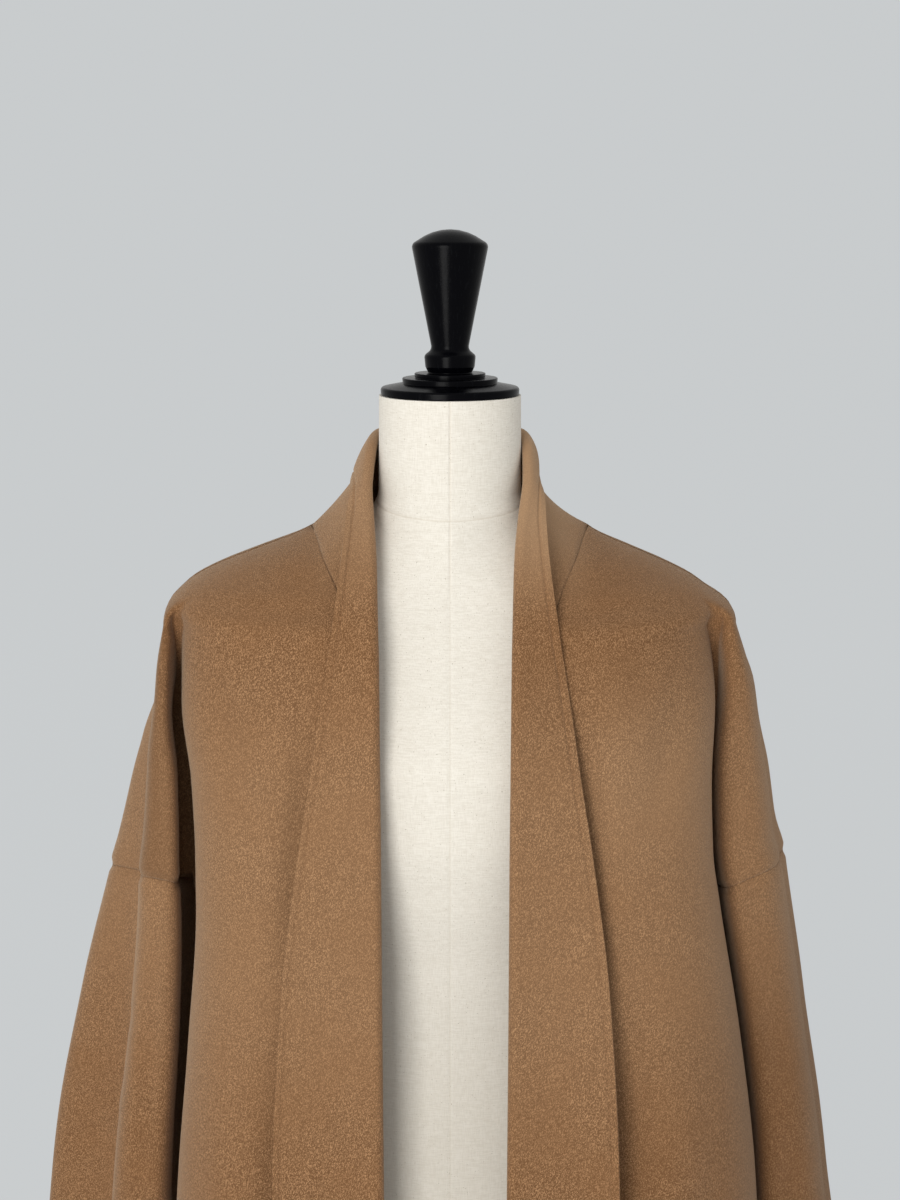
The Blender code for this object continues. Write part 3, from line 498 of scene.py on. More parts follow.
steel, steel_shader, steel_wire = finish("black_painted_steel", {"Specular IOR Level": 0.45})
steel_places = steel_wire.places()
paint_skin = steel_places.noise(PAINT_GRAIN, 1.0)
dust = steel_places.noise(DUST_GRAIN, 3.0).range(*DUST_LIMITS)
feed(steel_shader, "Base Color", (dust * DUST_SHARE).mix(STEEL_BLACK, STEEL_DUST))
feed(steel_shader, "Roughness", PAINT_ROUGHNESS + dust * DUST_ROUGHNESS)
feed(steel_shader, "Normal", paint_skin.bump(PAINT_DEPTH, PAINT_RELIEF))
pole_low, pole_high = (corner.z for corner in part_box("stand_pole"))
base_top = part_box("stand_base")[1].z
pole_profile = [(0.0, pole_high), (POLE_RADIUS, pole_high), (POLE_RADIUS, pole_low), (0.0, pole_low)]
pole = turned("steel_pole", pole_profile, POLE_SIDES, steel)
base_profile = [(0.0, base_top)] + filleted((BASE_FLAT, base_top), BASE, (0.0, 0.0))
base = turned("steel_base", base_profile, BASE_SIDES, steel)
for piece, node in ((pole, "stand_pole"), (base, "stand_base")):
    piece.data.set_sharp_from_angle(angle=STEEL_ANGLE)
    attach(piece, "root")
    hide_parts(node)


# Fronts of the coat: thick double-faced camel wool with a brushed nap, hanging open from the shoulders. Each
# runs from the collar seam over the dropped shoulder, whose empty upper arm folds flat against the body, and
# down to the side seam and hem. Sewn by hand along closed edges, with no facing or lining.
CLOTH = 0.0026
SEAM_GAP = 0.0002
NECK_POINT_Z = 1.3735
CORNER_Z = 1.300
ARMHOLE_Z = 1.080
HEM_Z = 0.335
TOP_TRIM = 0.0007
RELAX = 0.070
CORNER_BLEND = 0.025
TIP_BLEND = 0.030
TILT_REACH = 0.085
SEAM_TILT = {"left": 0.37, "right": 0.30}
SEAM_SLANT = {"left": 0.18, "right": 0.375}
SEAM_LEVEL_X = {"left": 0.2723, "right": 0.2547}
RIDGE_SHIFT = {"left": 0.0035, "right": -0.0070}
SIGN = {"left": -1.0, "right": 1.0}
BODY_SHARE = 0.74
BODY_COLUMNS = 52
ARM_COLUMNS = 34
TUCK_COLUMNS = 13
DENSE = 240
ROLL = 0.0022
SEAM_DIP = 0.0018
SEAM_DIP_REACH = 0.008
SHOULDER_ROW = 0.0035
BODY_ROW = 0.0075
SKIRT_ROW = 0.010
WOOL_PALE = (0.420, 0.233, 0.114, 1.0)
WOOL_DARK = (0.146, 0.069, 0.028, 1.0)
WOOL_WARM = (0.222, 0.105, 0.041, 1.0)
# Painted light: a paler, greyer tone mixed in where the wool should look more lit
WOOL_PAINTED_LIGHT = (0.44, 0.280, 0.160, 1.0)
# Painted shade: a darker tone mixed in where the wool should look shaded
WOOL_PAINTED_SHADE = (0.112, 0.050, 0.019, 1.0)
NAP_LAY = (0.30, 0.12, 0.946)
NAP_LONG = 0.58
STROKE_GRAIN = 2400.0
STROKE_SHARE = 0.6
TUFT_GRAIN = 1350.0
NAP_CONTRAST = (0.43, 0.69)
NAP_DEPTH = 0.0008
NAP_RELIEF = 0.62
CLOUD_GRAIN = 16.0
CLOUD_LIMITS = (0.35, 0.70)
CLOUD_SHARE = 0.30

# Painted light: places where the wool's colour is made paler and greyer to stand in for light and sheen, as
# limits in x or z, with their strengths
PAINTED_LIGHT_Z = (0.86, 1.06, 1.18, 1.32)
PAINTED_LIGHT_SHARE = 0.17
CHEST_PAINTED_LIGHT_X = (0.09, 0.13, 0.18, 0.21)
CHEST_PAINTED_LIGHT_Z = (1.10, 1.20, 1.22, 1.30)
CHEST_PAINTED_LIGHT = 0.7
COLLAR_PAINTED_LIGHT_X = (0.085, 0.120)
COLLAR_PAINTED_LIGHT_Z = (1.310, 1.400)
COLLAR_PAINTED_LIGHT = 2.2
RIGHT_COLLAR_PAINTED_LIGHT_X = (0.0, 0.06)
RIGHT_COLLAR_PAINTED_LIGHT = 1.6

# Painted shade: places where the wool's colour is made darker to stand in for shade: the left upper arm, down
# to its seam, and the right side of the skirt
ARM_PAINTED_SHADE_X = (-0.232, -0.212)
ARM_PAINTED_SHADE_Y = (-0.020, 0.035)
ARM_PAINTED_SHADE_EDGE = (-0.001, 0.003)
ARM_PAINTED_SHADE = 0.40
SIDE_PAINTED_SHADE_X = (0.12, 0.26)
SIDE_PAINTED_SHADE_Z = (0.92, 1.12)
SIDE_PAINTED_SHADE = 0.32

Body = namedtuple("Body", "height left right front back square")
BODY = (
    Body(1.300, 0.2150, 0.2070, 0.106, 0.104, 2.7),
    Body(1.240, 0.2150, 0.2124, 0.124, 0.113, 3.2),
    Body(1.180, 0.2077, 0.2100, 0.133, 0.120, 3.6),
    Body(1.120, 0.2052, 0.2120, 0.138, 0.126, 3.9),
    Body(1.080, 0.2055, 0.2180, 0.140, 0.130, 4.0),
    Body(0.960, 0.2155, 0.2395, 0.146, 0.140, 4.0),
    Body(0.840, 0.2278, 0.2555, 0.150, 0.150, 3.8),
    Body(0.600, 0.2440, 0.2705, 0.156, 0.166, 3.4),
    Body(0.335, 0.2580, 0.2850, 0.162, 0.182, 3.0),
)

# Plan of each empty arm by height: gap to the body, half thickness and depth, turn in degrees, middle in y,
# depth of the valley beside the body, width and skew of the front fold, and how square its two walls are
Arm = namedtuple("Arm", "height gap half_thick half_depth turn middle notch lobe skew inner outer")
ARM = {
    "left": (
        Arm(1.300, 0.0020, 0.0053, 0.050, 0, 0.012, 0.010, 0.0106, 0.00, 2.6, 2.6),
        Arm(1.270, 0.0020, 0.0085, 0.062, 1, 0.012, 0.034, 0.0159, 0.05, 3.0, 2.8),
        Arm(1.240, 0.0020, 0.0111, 0.072, 3, 0.012, 0.060, 0.0184, 0.10, 3.4, 3.0),
        Arm(1.190, 0.0030, 0.0216, 0.080, 9, 0.012, 0.078, 0.0311, 0.12, 4.2, 3.2),
        Arm(1.150, 0.0050, 0.0267, 0.085, 13, 0.013, 0.090, 0.0352, 0.13, 4.8, 3.4),
        Arm(1.100, 0.0062, 0.0320, 0.089, 16, 0.014, 0.110, 0.0410, 0.14, 5.2, 3.6),
        Arm(1.080, 0.0058, 0.0344, 0.089, 18, 0.015, 0.130, 0.0430, 0.14, 4.6, 3.6),
        Arm(0.950, 0.0020, 0.0475, 0.078, 22, 0.016, 0.130, 0.0512, 0.13, 3.8, 3.6),
        Arm(0.790, 0.0010, 0.0556, 0.067, 27, 0.014, 0.130, 0.0588, 0.12, 3.4, 3.6),
        Arm(0.700, 0.0024, 0.0573, 0.062, 28, 0.012, 0.130, 0.0606, 0.12, 3.4, 3.6),
    ),
    "right": (
        Arm(1.300, 0.0030, 0.0092, 0.049, 0, 0.013, 0.008, 0.0184, 0.00, 2.6, 2.6),
        Arm(1.270, 0.0030, 0.0138, 0.057, 2, 0.018, 0.022, 0.0258, 0.08, 3.0, 2.6),
        Arm(1.240, 0.0030, 0.0189, 0.062, 4, 0.025, 0.026, 0.0331, 0.14, 3.6, 2.6),
        Arm(1.205, 0.0030, 0.0232, 0.066, 5, 0.032, 0.026, 0.0418, 0.20, 4.2, 2.6),
        Arm(1.158, 0.0030, 0.0289, 0.074, 6, 0.033, 0.046, 0.0508, 0.22, 4.6, 2.6),
        Arm(1.110, 0.0030, 0.0313, 0.081, 8, 0.033, 0.095, 0.0559, 0.24, 5.0, 2.6),
        Arm(1.080, 0.0026, 0.0336, 0.085, 8, 0.033, 0.130, 0.0594, 0.24, 4.8, 2.6),
        Arm(0.950, 0.0016, 0.0335, 0.079, 9, 0.033, 0.130, 0.0599, 0.24, 4.6, 2.6),
        Arm(0.790, 0.0016, 0.0373, 0.070, 10, 0.028, 0.130, 0.0669, 0.24, 4.4, 2.6),
        Arm(0.700, 0.0030, 0.0410, 0.065, 10, 0.025, 0.130, 0.0755, 0.24, 4.4, 2.6),
    ),
}
ARM_SQUARE = 2.6
FOLD_END = -0.15
FOLD_BLEND = 0.50
CLOSE_START = 0.0
CLOSE_REACH = 0.60
CLOSED_GAP = 0.0028
GAP_FLARE = {"left": 0.19, "right": 0.0}
FLARE_REACH = 0.10

Shoulder = namedtuple("Shoulder", "height ridge front back square")
SHOULDER = (
    Shoulder(1.3735, 0.1105, 0.026, 0.082, 2.0),
    Shoulder(1.3680, 0.1204, 0.040, 0.086, 2.0),
    Shoulder(1.3551, 0.1528, 0.063, 0.092, 2.1),
    Shoulder(1.3416, 0.1854, 0.076, 0.096, 2.2),
    Shoulder(1.3305, 0.2056, 0.086, 0.099, 2.4),
    Shoulder(1.3194, 0.2178, 0.094, 0.101, 2.5),
    Shoulder(1.3094, 0.2248, 0.101, 0.103, 2.6),
    Shoulder(1.3000, 0.2276, 0.106, 0.104, 2.7),
)

Seam = namedtuple("Seam", "height x")
SEAM = (
    Seam(1.3735, 0.1105),
    Seam(1.3660, 0.1040),
    Seam(1.3585, 0.0990),
    Seam(1.3360, 0.0845),
    Seam(1.3180, 0.0775),
    Seam(1.3000, 0.0745),
    Seam(1.2400, 0.0730),
    Seam(1.1200, 0.0780),
    Seam(0.9600, 0.0860),
    Seam(0.8400, 0.0900),
    Seam(0.3350, 0.0950),
)

# Hanging folds of the skirt, placed from 0 at the collar's seam and 1 at the side seam to 2 at the back
Fold = namedtuple("Fold", "place half_width depth top")
FOLDS = {
    "left": (
        Fold(0.40, 0.28, -0.009, 1.02),
        Fold(0.80, 0.22, 0.007, 0.92),
        Fold(1.12, 0.20, -0.008, 0.86),
        Fold(1.42, 0.26, 0.012, 1.00),
        Fold(1.72, 0.20, -0.010, 0.95),
        Fold(2.00, 0.24, 0.010, 1.05),
    ),
    "right": (
        Fold(0.34, 0.26, -0.012, 1.08),
        Fold(0.74, 0.24, 0.008, 0.96),
        Fold(1.16, 0.22, -0.009, 0.88),
        Fold(1.50, 0.24, 0.011, 0.98),
        Fold(1.76, 0.18, -0.009, 0.90),
        Fold(2.00, 0.24, 0.010, 1.05),
    ),
}
FOLD_GROWTH = 1.3

# Soft creases in the cloth, each a line in the front view with its half width and depth, and the shares of
# its length over which it grows and fades
CREASE_START = 1 / 3
CREASE_END = 0.5
Crease = namedtuple("Crease", "x_top z_top x_low z_low half_width depth")
FRONT_CREASES = (
    Crease(-0.098, 1.275, -0.130, 0.990, 0.024, -0.0080),
    Crease(-0.124, 1.080, -0.143, 0.420, 0.030, -0.0100),
    Crease(-0.174, 1.020, -0.186, 0.400, 0.026, 0.0030),
    Crease(-0.186, 1.296, -0.150, 1.150, 0.022, -0.0022),
    Crease(-0.118, 1.315, -0.150, 1.215, 0.030, 0.0018),
    Crease(0.089, 1.285, 0.122, 0.990, 0.024, -0.0100),
    Crease(0.123, 1.120, 0.151, 0.380, 0.040, -0.0190),
    Crease(0.178, 1.060, 0.196, 0.380, 0.028, 0.0036),
    Crease(0.184, 1.296, 0.142, 1.130, 0.024, -0.0026),
    Crease(0.112, 1.320, 0.138, 1.190, 0.030, 0.0020),
)


def lengths(points):
    """Length along a polyline at each of its points."""
    return np.concatenate(([0.0], np.cumsum(np.linalg.norm(np.diff(points, axis=0), axis=1))))


def points_along(points, at):
    """Points of a polyline at given lengths along it."""
    return np.stack([np.interp(at, lengths(points), points[:, k]) for k in range(points.shape[1])], axis=1)


def resample(points, count):
    """The same polyline with evenly spaced points."""
    return points_along(points, np.linspace(0.0, lengths(points)[-1], count))


def quarter(half, depth, square, depth_sign, x_start, y_stop):
    """Quarter of a squared oval in plan, from a given x to the side wall at a given y."""
    start = math.asin(min(x_start / half, 1.0) ** (square / 2))
    reach = max(depth_sign * (y_stop - MID_Y), 0.0)
    stop = math.acos((reach / depth) ** (square / 2))
    angle = np.linspace(start, stop, DENSE)
    x = half * power(np.sin(angle), 2 / square)
    y = MID_Y + depth_sign * depth * power(np.cos(angle), 2 / square)
    return np.stack([x, y], axis=1)


def depth_at(rows, height, depth_sign):
    """Depth of the plan before or behind the shoulder line."""
    if depth_sign < 0:
        return smooth(rows, "front", height) + MID_Y
    return smooth(rows, "back", height) - MID_Y


def middle_x(height, depth_sign):
    """Where a panel begins: a front at the collar's seam, the back at its centre."""
    return smooth(SEAM, "x", height) if depth_sign < 0 else 0.0


def body_arc(side, height, depth_sign, x_start, y_stop):
    """Quarter of the body's plan at or below the rounded corner of the shoulder."""
    return quarter(smooth(BODY, side, height), depth_at(BODY, height, depth_sign),
                   smooth(BODY, "square", height), depth_sign, x_start, y_stop)


def shoulder_arc(side, height, depth_sign, x_start):
    """Quarter of the plan of the shoulders, up to the shoulder line, with the shoulder's own slump."""
    share = min(max((NECK_POINT_Z - height) / (NECK_POINT_Z - CORNER_Z), 0.0), 1.0)
    ridge = smooth(SHOULDER, "ridge", height) + RIDGE_SHIFT[side] * math.sin(math.pi * share)
    return quarter(ridge, depth_at(SHOULDER, height, depth_sign),
                   smooth(SHOULDER, "square", height), depth_sign, x_start, MID_Y)


def arm_ring(side, height):
    """Closed plan of the empty sleeve from its inner wall round the front fold, outside and back."""
    row = {name: smooth(ARM[side], name, height) for name in Arm._fields[1:]}
    start = math.asin((max(row["middle"] - MID_Y, 0.0) / row["half_depth"]) ** (row["inner"] / 2))
    angle = np.linspace(start, start + 2 * math.pi, 4 * DENSE)
    before = np.sin(angle) > 0
    square = np.where(before, np.where(np.cos(angle) > 0, row["inner"], row["outer"]), ARM_SQUARE)
    across = 0.5 - 0.5 * power(np.cos(angle), 2 / square)
    along = -power(np.sin(angle), 2 / square) * np.where(before, 1 - row["skew"] * across, 1.0)
    long = row["half_depth"] * along
    behind = ease((along - FOLD_END) / FOLD_BLEND)
    plain = 2 * row["half_thick"] + math.tan(math.radians(row["turn"])) * long
    spare = max(row["gap"] - CLOSED_GAP, 0.0)
    closing = ease((along - CLOSE_START) / CLOSE_REACH)
    flare = GAP_FLARE[side] * float(ease((CORNER_Z - height) / FLARE_REACH)) * row["half_depth"] * (along + 1)
    hollow = (flare * (1 - closing) - spare * closing) * (1 - across)
    width = row["lobe"] * (1 - behind) + plain * behind
    x = smooth(BODY, side, height) + row["gap"] + hollow + across * width
    return np.stack([x, row["middle"] + long], axis=1)


def crossing(ring, y, first, last):
    """Point number of a stretch of the ring where it crosses a given y."""
    part = ring[first:last, 1]
    number = np.arange(first, last, dtype=float)
    order = np.argsort(part)
    return np.interp(y, part[order], number[order])


def tips(ring):
    """Point numbers of the front fold's tip and the back's, and of the outside between them."""
    front_tip = int(np.argmin(ring[:, 1]))
    back_tip = int(np.argmax(ring[:, 1]))
    return front_tip, back_tip, crossing(ring, MID_Y, front_tip, back_tip)


def stretch(ring, start, stop):
    """Points of the ring between two point numbers, both ends included."""
    at = np.concatenate(([start], np.arange(math.ceil(start), math.floor(stop) + 1), [stop]))
    number = np.arange(len(ring))
    return np.stack([np.interp(at, number, ring[:, k]) for k in range(2)], axis=1)


def arm_columns(inside, outside, height):
    """Points of an arm's wall from the valley to the outside, one of them on the fold's tip lower down."""
    line = np.concatenate([inside, outside[1:]])
    end = lengths(line)[-1]
    tip = lengths(inside)[-1]
    even = np.linspace(0.0, end, ARM_COLUMNS - 1)
    kept = np.concatenate([np.linspace(0.0, tip, TUCK_COLUMNS),
                           np.linspace(tip, end, ARM_COLUMNS - TUCK_COLUMNS)[1:]])
    share = ease((CORNER_Z - height) / TIP_BLEND)
    return points_along(line, even * (1 - share) + kept * share)


def yoke_half(side, height, depth_sign):
    """Plan of one panel's side above the armhole: body part and arm part, meeting in the valley."""
    level = min(height, CORNER_Z)
    ring = arm_ring(side, level)
    front_tip, back_tip, outer = tips(ring)
    tip = ring[front_tip if depth_sign < 0 else back_tip, 1]
    limit = MID_Y + depth_sign * (CLOTH + SEAM_GAP)
    valley = tip - depth_sign * smooth(ARM[side], "notch", level)
    valley = min(valley, limit) if depth_sign < 0 else max(valley, limit)
    cut = valley + depth_sign * smooth(ARM[side], "gap", level) / 2
    side_wall = body_arc(side, level, depth_sign, middle_x(level, depth_sign), cut)
    if depth_sign < 0:
        inside = stretch(ring, crossing(ring, cut, 0, front_tip), front_tip)
        outside = stretch(ring, front_tip, outer)
    else:
        inside = stretch(ring, back_tip, crossing(ring, cut, back_tip, len(ring)))[::-1]
        outside = stretch(ring, outer, back_tip)[::-1]
    bottom = np.array([[(side_wall[-1, 0] + inside[0, 0]) / 2, valley]])
    body = np.concatenate([resample(side_wall, BODY_COLUMNS - 1), bottom])
    arm = np.concatenate([bottom, arm_columns(inside, outside, level)])
    if height > CORNER_Z:
        arc = resample(shoulder_arc(side, height, depth_sign, middle_x(height, depth_sign)), DENSE)
        cut = round(BODY_SHARE * (DENSE - 1))
        share = ease((height - CORNER_Z) / CORNER_BLEND)
        body = body * (1 - share) + resample(arc[:cut + 1], BODY_COLUMNS) * share
        arm = arm * (1 - share) + resample(arc[cut:], ARM_COLUMNS) * share
    return body, arm


def fold_push(side, place, height):
    """Outward shift of the skirt's hanging folds."""
    push = np.zeros(len(place))
    for fold in FOLDS[side]:
        near = np.minimum(np.abs(place - fold.place) / fold.half_width, 1.0)
        grow = (max(fold.top - height, 0.0) / (fold.top - HEM_Z)) ** FOLD_GROWTH
        push += fold.depth * grow * 0.5 * (1 + np.cos(math.pi * near))
    return push


def levelled(plan, height):
    return np.column_stack([plan, np.full(len(plan), height)])


def rolled(row):
    """A level with its last point trimmed for the seam and one more just before it to round the edge."""
    step = row[-2] - row[-1]
    step = step / np.linalg.norm(step)
    return np.concatenate([row[:-1], [row[-1] + step * ROLL], [row[-1] + step * SEAM_GAP / 2]])


def seam_tilt(side, plan, height, weight):
    """One level of a plan moved along the cloth's slope towards the tilted plane of the armhole seam."""
    points = plan(height)
    slope = (plan(height + BODY_ROW) - plan(height - BODY_ROW)) / (2 * BODY_ROW)
    rise = SEAM_SLANT[side] * (points[:, 0] - SEAM_LEVEL_X[side]) - SEAM_TILT[side] * (points[:, 1] - MID_Y)
    return points + slope * (rise * weight)[:, None]


def yoke_level(side, height, depth_sign):
    """One level of a panel above the armhole, from the middle to the shoulder line."""
    def plan(at):
        body, arm = yoke_half(side, at, depth_sign)
        return levelled(np.concatenate([body, arm[1:]]), at)
    row = plan(height)
    weight = ease((ARMHOLE_Z + TILT_REACH - height) / TILT_REACH)
    if weight > 0:
        row[BODY_COLUMNS:] = seam_tilt(side, plan, height, weight)[BODY_COLUMNS:]
    return rolled(row) * [SIGN[side], 1.0, 1.0]


def skirt_level(side, height, depth_sign):
    """One level of a panel below the armhole, from the middle to the side seam."""
    plain = body_arc(side, height, depth_sign, middle_x(height, depth_sign), MID_Y)
    plain = resample(plain, BODY_COLUMNS)
    tucked = yoke_half(side, height, depth_sign)[0]
    share = float(ease((ARMHOLE_Z - height) / RELAX))
    plan = tucked * (1 - share) + plain * share
    plan[-1, 1] = MID_Y + depth_sign * CLOTH * (1 - share)
    along = np.gradient(plan, axis=0)
    along /= np.linalg.norm(along, axis=1)[:, None]
    out = np.stack([along[:, 1], -along[:, 0]], axis=1) * -depth_sign
    if depth_sign > 0:
        out[0] = (0.0, 1.0)
    place = np.linspace(0.0, 1.0, BODY_COLUMNS)
    push = fold_push(side, place if depth_sign < 0 else 2 - place, height)
    return rolled(levelled(plan + out * push[:, None], height)) * [SIGN[side], 1.0, 1.0]


def heights(top, bottom, step):
    """Even levels from one height down to another."""
    return np.linspace(top, bottom, max(round((top - bottom) / step), 1) + 1)


def seam_dip(levels, top):
    """How far the cloth dips at each level next to the armhole seam."""
    return SEAM_DIP * ease(1 - np.abs(np.array(levels) - ARMHOLE_Z) / SEAM_DIP_REACH) * top


def out_of(points, quads, away):
    """Outward directions of a cloth face; away gives roughly which side is out at each point."""
    mesh = mesh_of("face", points, quads)
    out = np.zeros(len(points) * 3)
    mesh.vertex_normals.foreach_get("vector", out)
    out = out.reshape(-1, 3)
    bpy.data.meshes.remove(mesh)
    return out if (out * away).sum() > 0 else -out


def creased(points, out, creases):
    """Points pressed in or lifted by creases on the side of the cloth that faces them."""
    push = np.zeros(len(points))
    flat = points[:, [0, 2]]
    for crease in creases:
        start = np.array([crease.x_top, crease.z_top])
        along = np.array([crease.x_low, crease.z_low]) - start
        share = np.clip((flat - start) @ along / (along @ along), 0.0, 1.0)
        near = np.linalg.norm(flat - start - share[:, None] * along, axis=1) / crease.half_width
        taper = ease(share / CREASE_START) * ease((1 - share) / CREASE_END)
        push += crease.depth * taper * 0.5 * (1 + np.cos(math.pi * np.minimum(near, 1.0)))
    return points + out * push[:, None]


def wall(name, outer, inner, quads, material):
    """Closed cloth wall from its two faces, with a soft rounded rim along every open edge."""
    count = len(outer)
    edges = {}
    for quad in quads:
        for pair in zip(quad, quad[1:] + quad[:1]):
            key = frozenset(pair)
            edges[key] = None if key in edges else pair
    rim = [pair for pair in edges.values() if pair]
    on_rim = sorted({number for pair in rim for number in pair})
    middle = {number: 2 * count + place for place, number in enumerate(on_rim)}
    inward = {}
    for quad in quads:
        for number in quad:
            if number in middle:
                inward.setdefault(number, []).append(outer[list(quad)].mean(axis=0))
    ridge = []
    for number in on_rim:
        centre = (outer[number] + inner[number]) / 2
        away = centre - np.mean(inward[number], axis=0)
        ridge.append(centre + away / np.linalg.norm(away) * SEAM_GAP)
    faces = list(quads) + [tuple(number + count for number in quad[::-1]) for quad in quads]
    for a, b in rim:
        faces.append((b, a, middle[a], middle[b]))
        faces.append((middle[b], middle[a], a + count, b + count))
    mesh = mesh_of(name, np.concatenate([outer, inner, np.array(ridge)]), faces)
    shape = bmesh.new()
    shape.from_mesh(mesh)
    if shape.calc_volume(signed=True) < 0:
        bmesh.ops.reverse_faces(shape, faces=shape.faces)
    shape.to_mesh(mesh)
    shape.free()
    return placed(name, mesh, material)


def panel_quads(rows, centred):
    """Quads between levels; where the levels get shorter, the spare columns end there."""
    starts = np.cumsum([0] + [len(row) for row in rows]).tolist()
    quads = []
    for number in range(len(rows) - 1):
        width = len(rows[number + 1])
        skip = (len(rows[number]) - width) // 2 if centred else 0
        for column in range(width - 1):
            a = starts[number] + skip + column
            b = starts[number + 1] + column
            quads.append((a, a + 1, b + 1, b))
    return quads


def cut_piece(name, outer, quads, dips, away, creases):
    """Piece of the coat from its outer face, dipped at the armhole seam and creased along given lines."""
    out = out_of(outer, quads, away)
    outer = creased(outer - out * dips[:, None], out, creases)
    inner = outer - CLOTH * out_of(outer, quads, away)
    return wall(name, outer, inner, quads, wool)


def arm_dips(level, width, centred):
    """Dips of one level, on the arm's columns alone."""
    column = np.arange(width)
    if centred:
        column = width - 1 - np.minimum(column, width - 1 - column)
        column = column - width // 2
    return seam_dip(np.full(width, level), column >= BODY_COLUMNS)


wool, wool_shader, wool_wire = finish("camel_wool", {
    "Roughness": 0.92, "Specular IOR Level": 0.15,
    "Sheen Weight": 0.30, "Sheen Roughness": 0.42, "Sheen Tint": (0.95, 0.80, 0.62, 1.0),
})
wool_places = wool_wire.places()
lay = wool_places.vector("DOT_PRODUCT", {0: wool_places, 1: NAP_LAY}, 1)
along_lay = wool_places.vector("SCALE", {0: NAP_LAY, 3: lay * NAP_LONG})
nap_places = wool_places.vector("SUBTRACT", {0: wool_places, 1: along_lay})
strokes = nap_places.noise(STROKE_GRAIN, 0.0)
tufts = nap_places.noise(TUFT_GRAIN, 0.0)
clouds = wool_places.noise(CLOUD_GRAIN, 2.0).range(*CLOUD_LIMITS)
nap = strokes * STROKE_SHARE + tufts * (1 - STROKE_SHARE)
wool_tone = nap.range(*NAP_CONTRAST).mix(WOOL_DARK, WOOL_PALE)
wool_tone = (clouds * CLOUD_SHARE).mix(wool_tone, WOOL_WARM)
wool_x, wool_y, wool_z = (wool_places.axis(number) for number in range(3))
# Painted light: paler wool on the standing collar, more on its right, on the right chest and in a band from
# hip to upper chest
collar_painted_light = COLLAR_PAINTED_LIGHT + RIGHT_COLLAR_PAINTED_LIGHT * wool_x.range(*RIGHT_COLLAR_PAINTED_LIGHT_X)
collar_painted_light = collar_painted_light * wool_z.range(*COLLAR_PAINTED_LIGHT_Z) * (1 - abs(wool_x).range(*COLLAR_PAINTED_LIGHT_X))
chest_painted_light = CHEST_PAINTED_LIGHT * wool_x.band(*CHEST_PAINTED_LIGHT_X) * wool_z.band(*CHEST_PAINTED_LIGHT_Z)
painted_light = wool_z.band(*PAINTED_LIGHT_Z) + collar_painted_light + chest_painted_light
wool_tone = (painted_light * PAINTED_LIGHT_SHARE).mix(wool_tone, WOOL_PAINTED_LIGHT)
# Painted shade: darker wool on the left upper arm above its armhole seam and on the lower right side of the
# skirt
left_slant = SEAM_SLANT["left"] * (wool_x + SEAM_LEVEL_X["left"])
left_seam = ARMHOLE_Z - left_slant - SEAM_TILT["left"] * (wool_y - MID_Y)
arm_painted_shade = (1 - wool_x.range(*ARM_PAINTED_SHADE_X)) * (1 - wool_y.range(*ARM_PAINTED_SHADE_Y))
arm_painted_shade = arm_painted_shade * (wool_z - left_seam).range(*ARM_PAINTED_SHADE_EDGE)
side_painted_shade = wool_x.range(*SIDE_PAINTED_SHADE_X) * (1 - wool_z.range(*SIDE_PAINTED_SHADE_Z))
wool_painted_shade = arm_painted_shade * ARM_PAINTED_SHADE + side_painted_shade * SIDE_PAINTED_SHADE
feed(wool_shader, "Base Color", wool_painted_shade.mix(wool_tone, WOOL_PAINTED_SHADE))
feed(wool_shader, "Normal", nap.bump(NAP_DEPTH, NAP_RELIEF))

yoke_heights = np.concatenate([heights(NECK_POINT_Z - TOP_TRIM, CORNER_Z, SHOULDER_ROW),
                               heights(CORNER_Z, ARMHOLE_Z + SEAM_DIP_REACH, BODY_ROW)[1:],
                               heights(ARMHOLE_Z + SEAM_DIP_REACH, ARMHOLE_Z + SEAM_GAP / 2, ROLL)[1:]])
skirt_heights = np.concatenate([heights(ARMHOLE_Z - ROLL, ARMHOLE_Z - RELAX, BODY_ROW),
                                heights(ARMHOLE_Z - RELAX, HEM_Z + ROLL, SKIRT_ROW)[1:], [HEM_Z]])


def panel(name, yokes, skirts, away, creases, centred=False):
    """Front or back from its levels above the armhole and below it."""
    dips = [arm_dips(height, len(row), centred) for height, row in zip(yoke_heights, yokes)]
    dips += [np.zeros(len(row)) for row in skirts]
    rows = yokes + skirts
    quads = panel_quads(rows, centred)
    return cut_piece(name, np.concatenate(rows), quads, np.concatenate(dips), away, creases)


for side in SIGN:
    yokes = [yoke_level(side, height, -1) for height in yoke_heights]
    skirts = [skirt_level(side, height, -1) for height in skirt_heights]
    front = panel("coat_front_" + side, yokes, skirts, (0.0, -1.0, 0.0), FRONT_CREASES)
    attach(front, "root")
    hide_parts("front_" + side)


# Back of the coat: one piece of the same wool from the neck over both shoulders to the hem, joined to the
# fronts along the shoulder lines and side seams, with hanging folds under the shoulder blades.
BACK_CREASES = (
    Crease(-0.120, 1.290, -0.060, 1.060, 0.040, 0.0040),
    Crease(-0.176, 1.280, -0.130, 1.020, 0.034, -0.0036),
    Crease(-0.050, 1.180, -0.062, 0.520, 0.034, -0.0050),
    Crease(0.014, 1.240, 0.020, 0.640, 0.030, 0.0040),
    Crease(0.066, 1.200, 0.082, 0.460, 0.036, -0.0055),
    Crease(0.126, 1.285, 0.070, 1.090, 0.038, 0.0036),
    Crease(0.180, 1.275, 0.140, 1.000, 0.034, -0.0040),
)


def joined(left, right):
    """Left and right halves of a level as one row, left side to right side."""
    middle = (left[:1] + right[:1]) / 2
    return np.concatenate([left[:0:-1], middle, right[1:]])


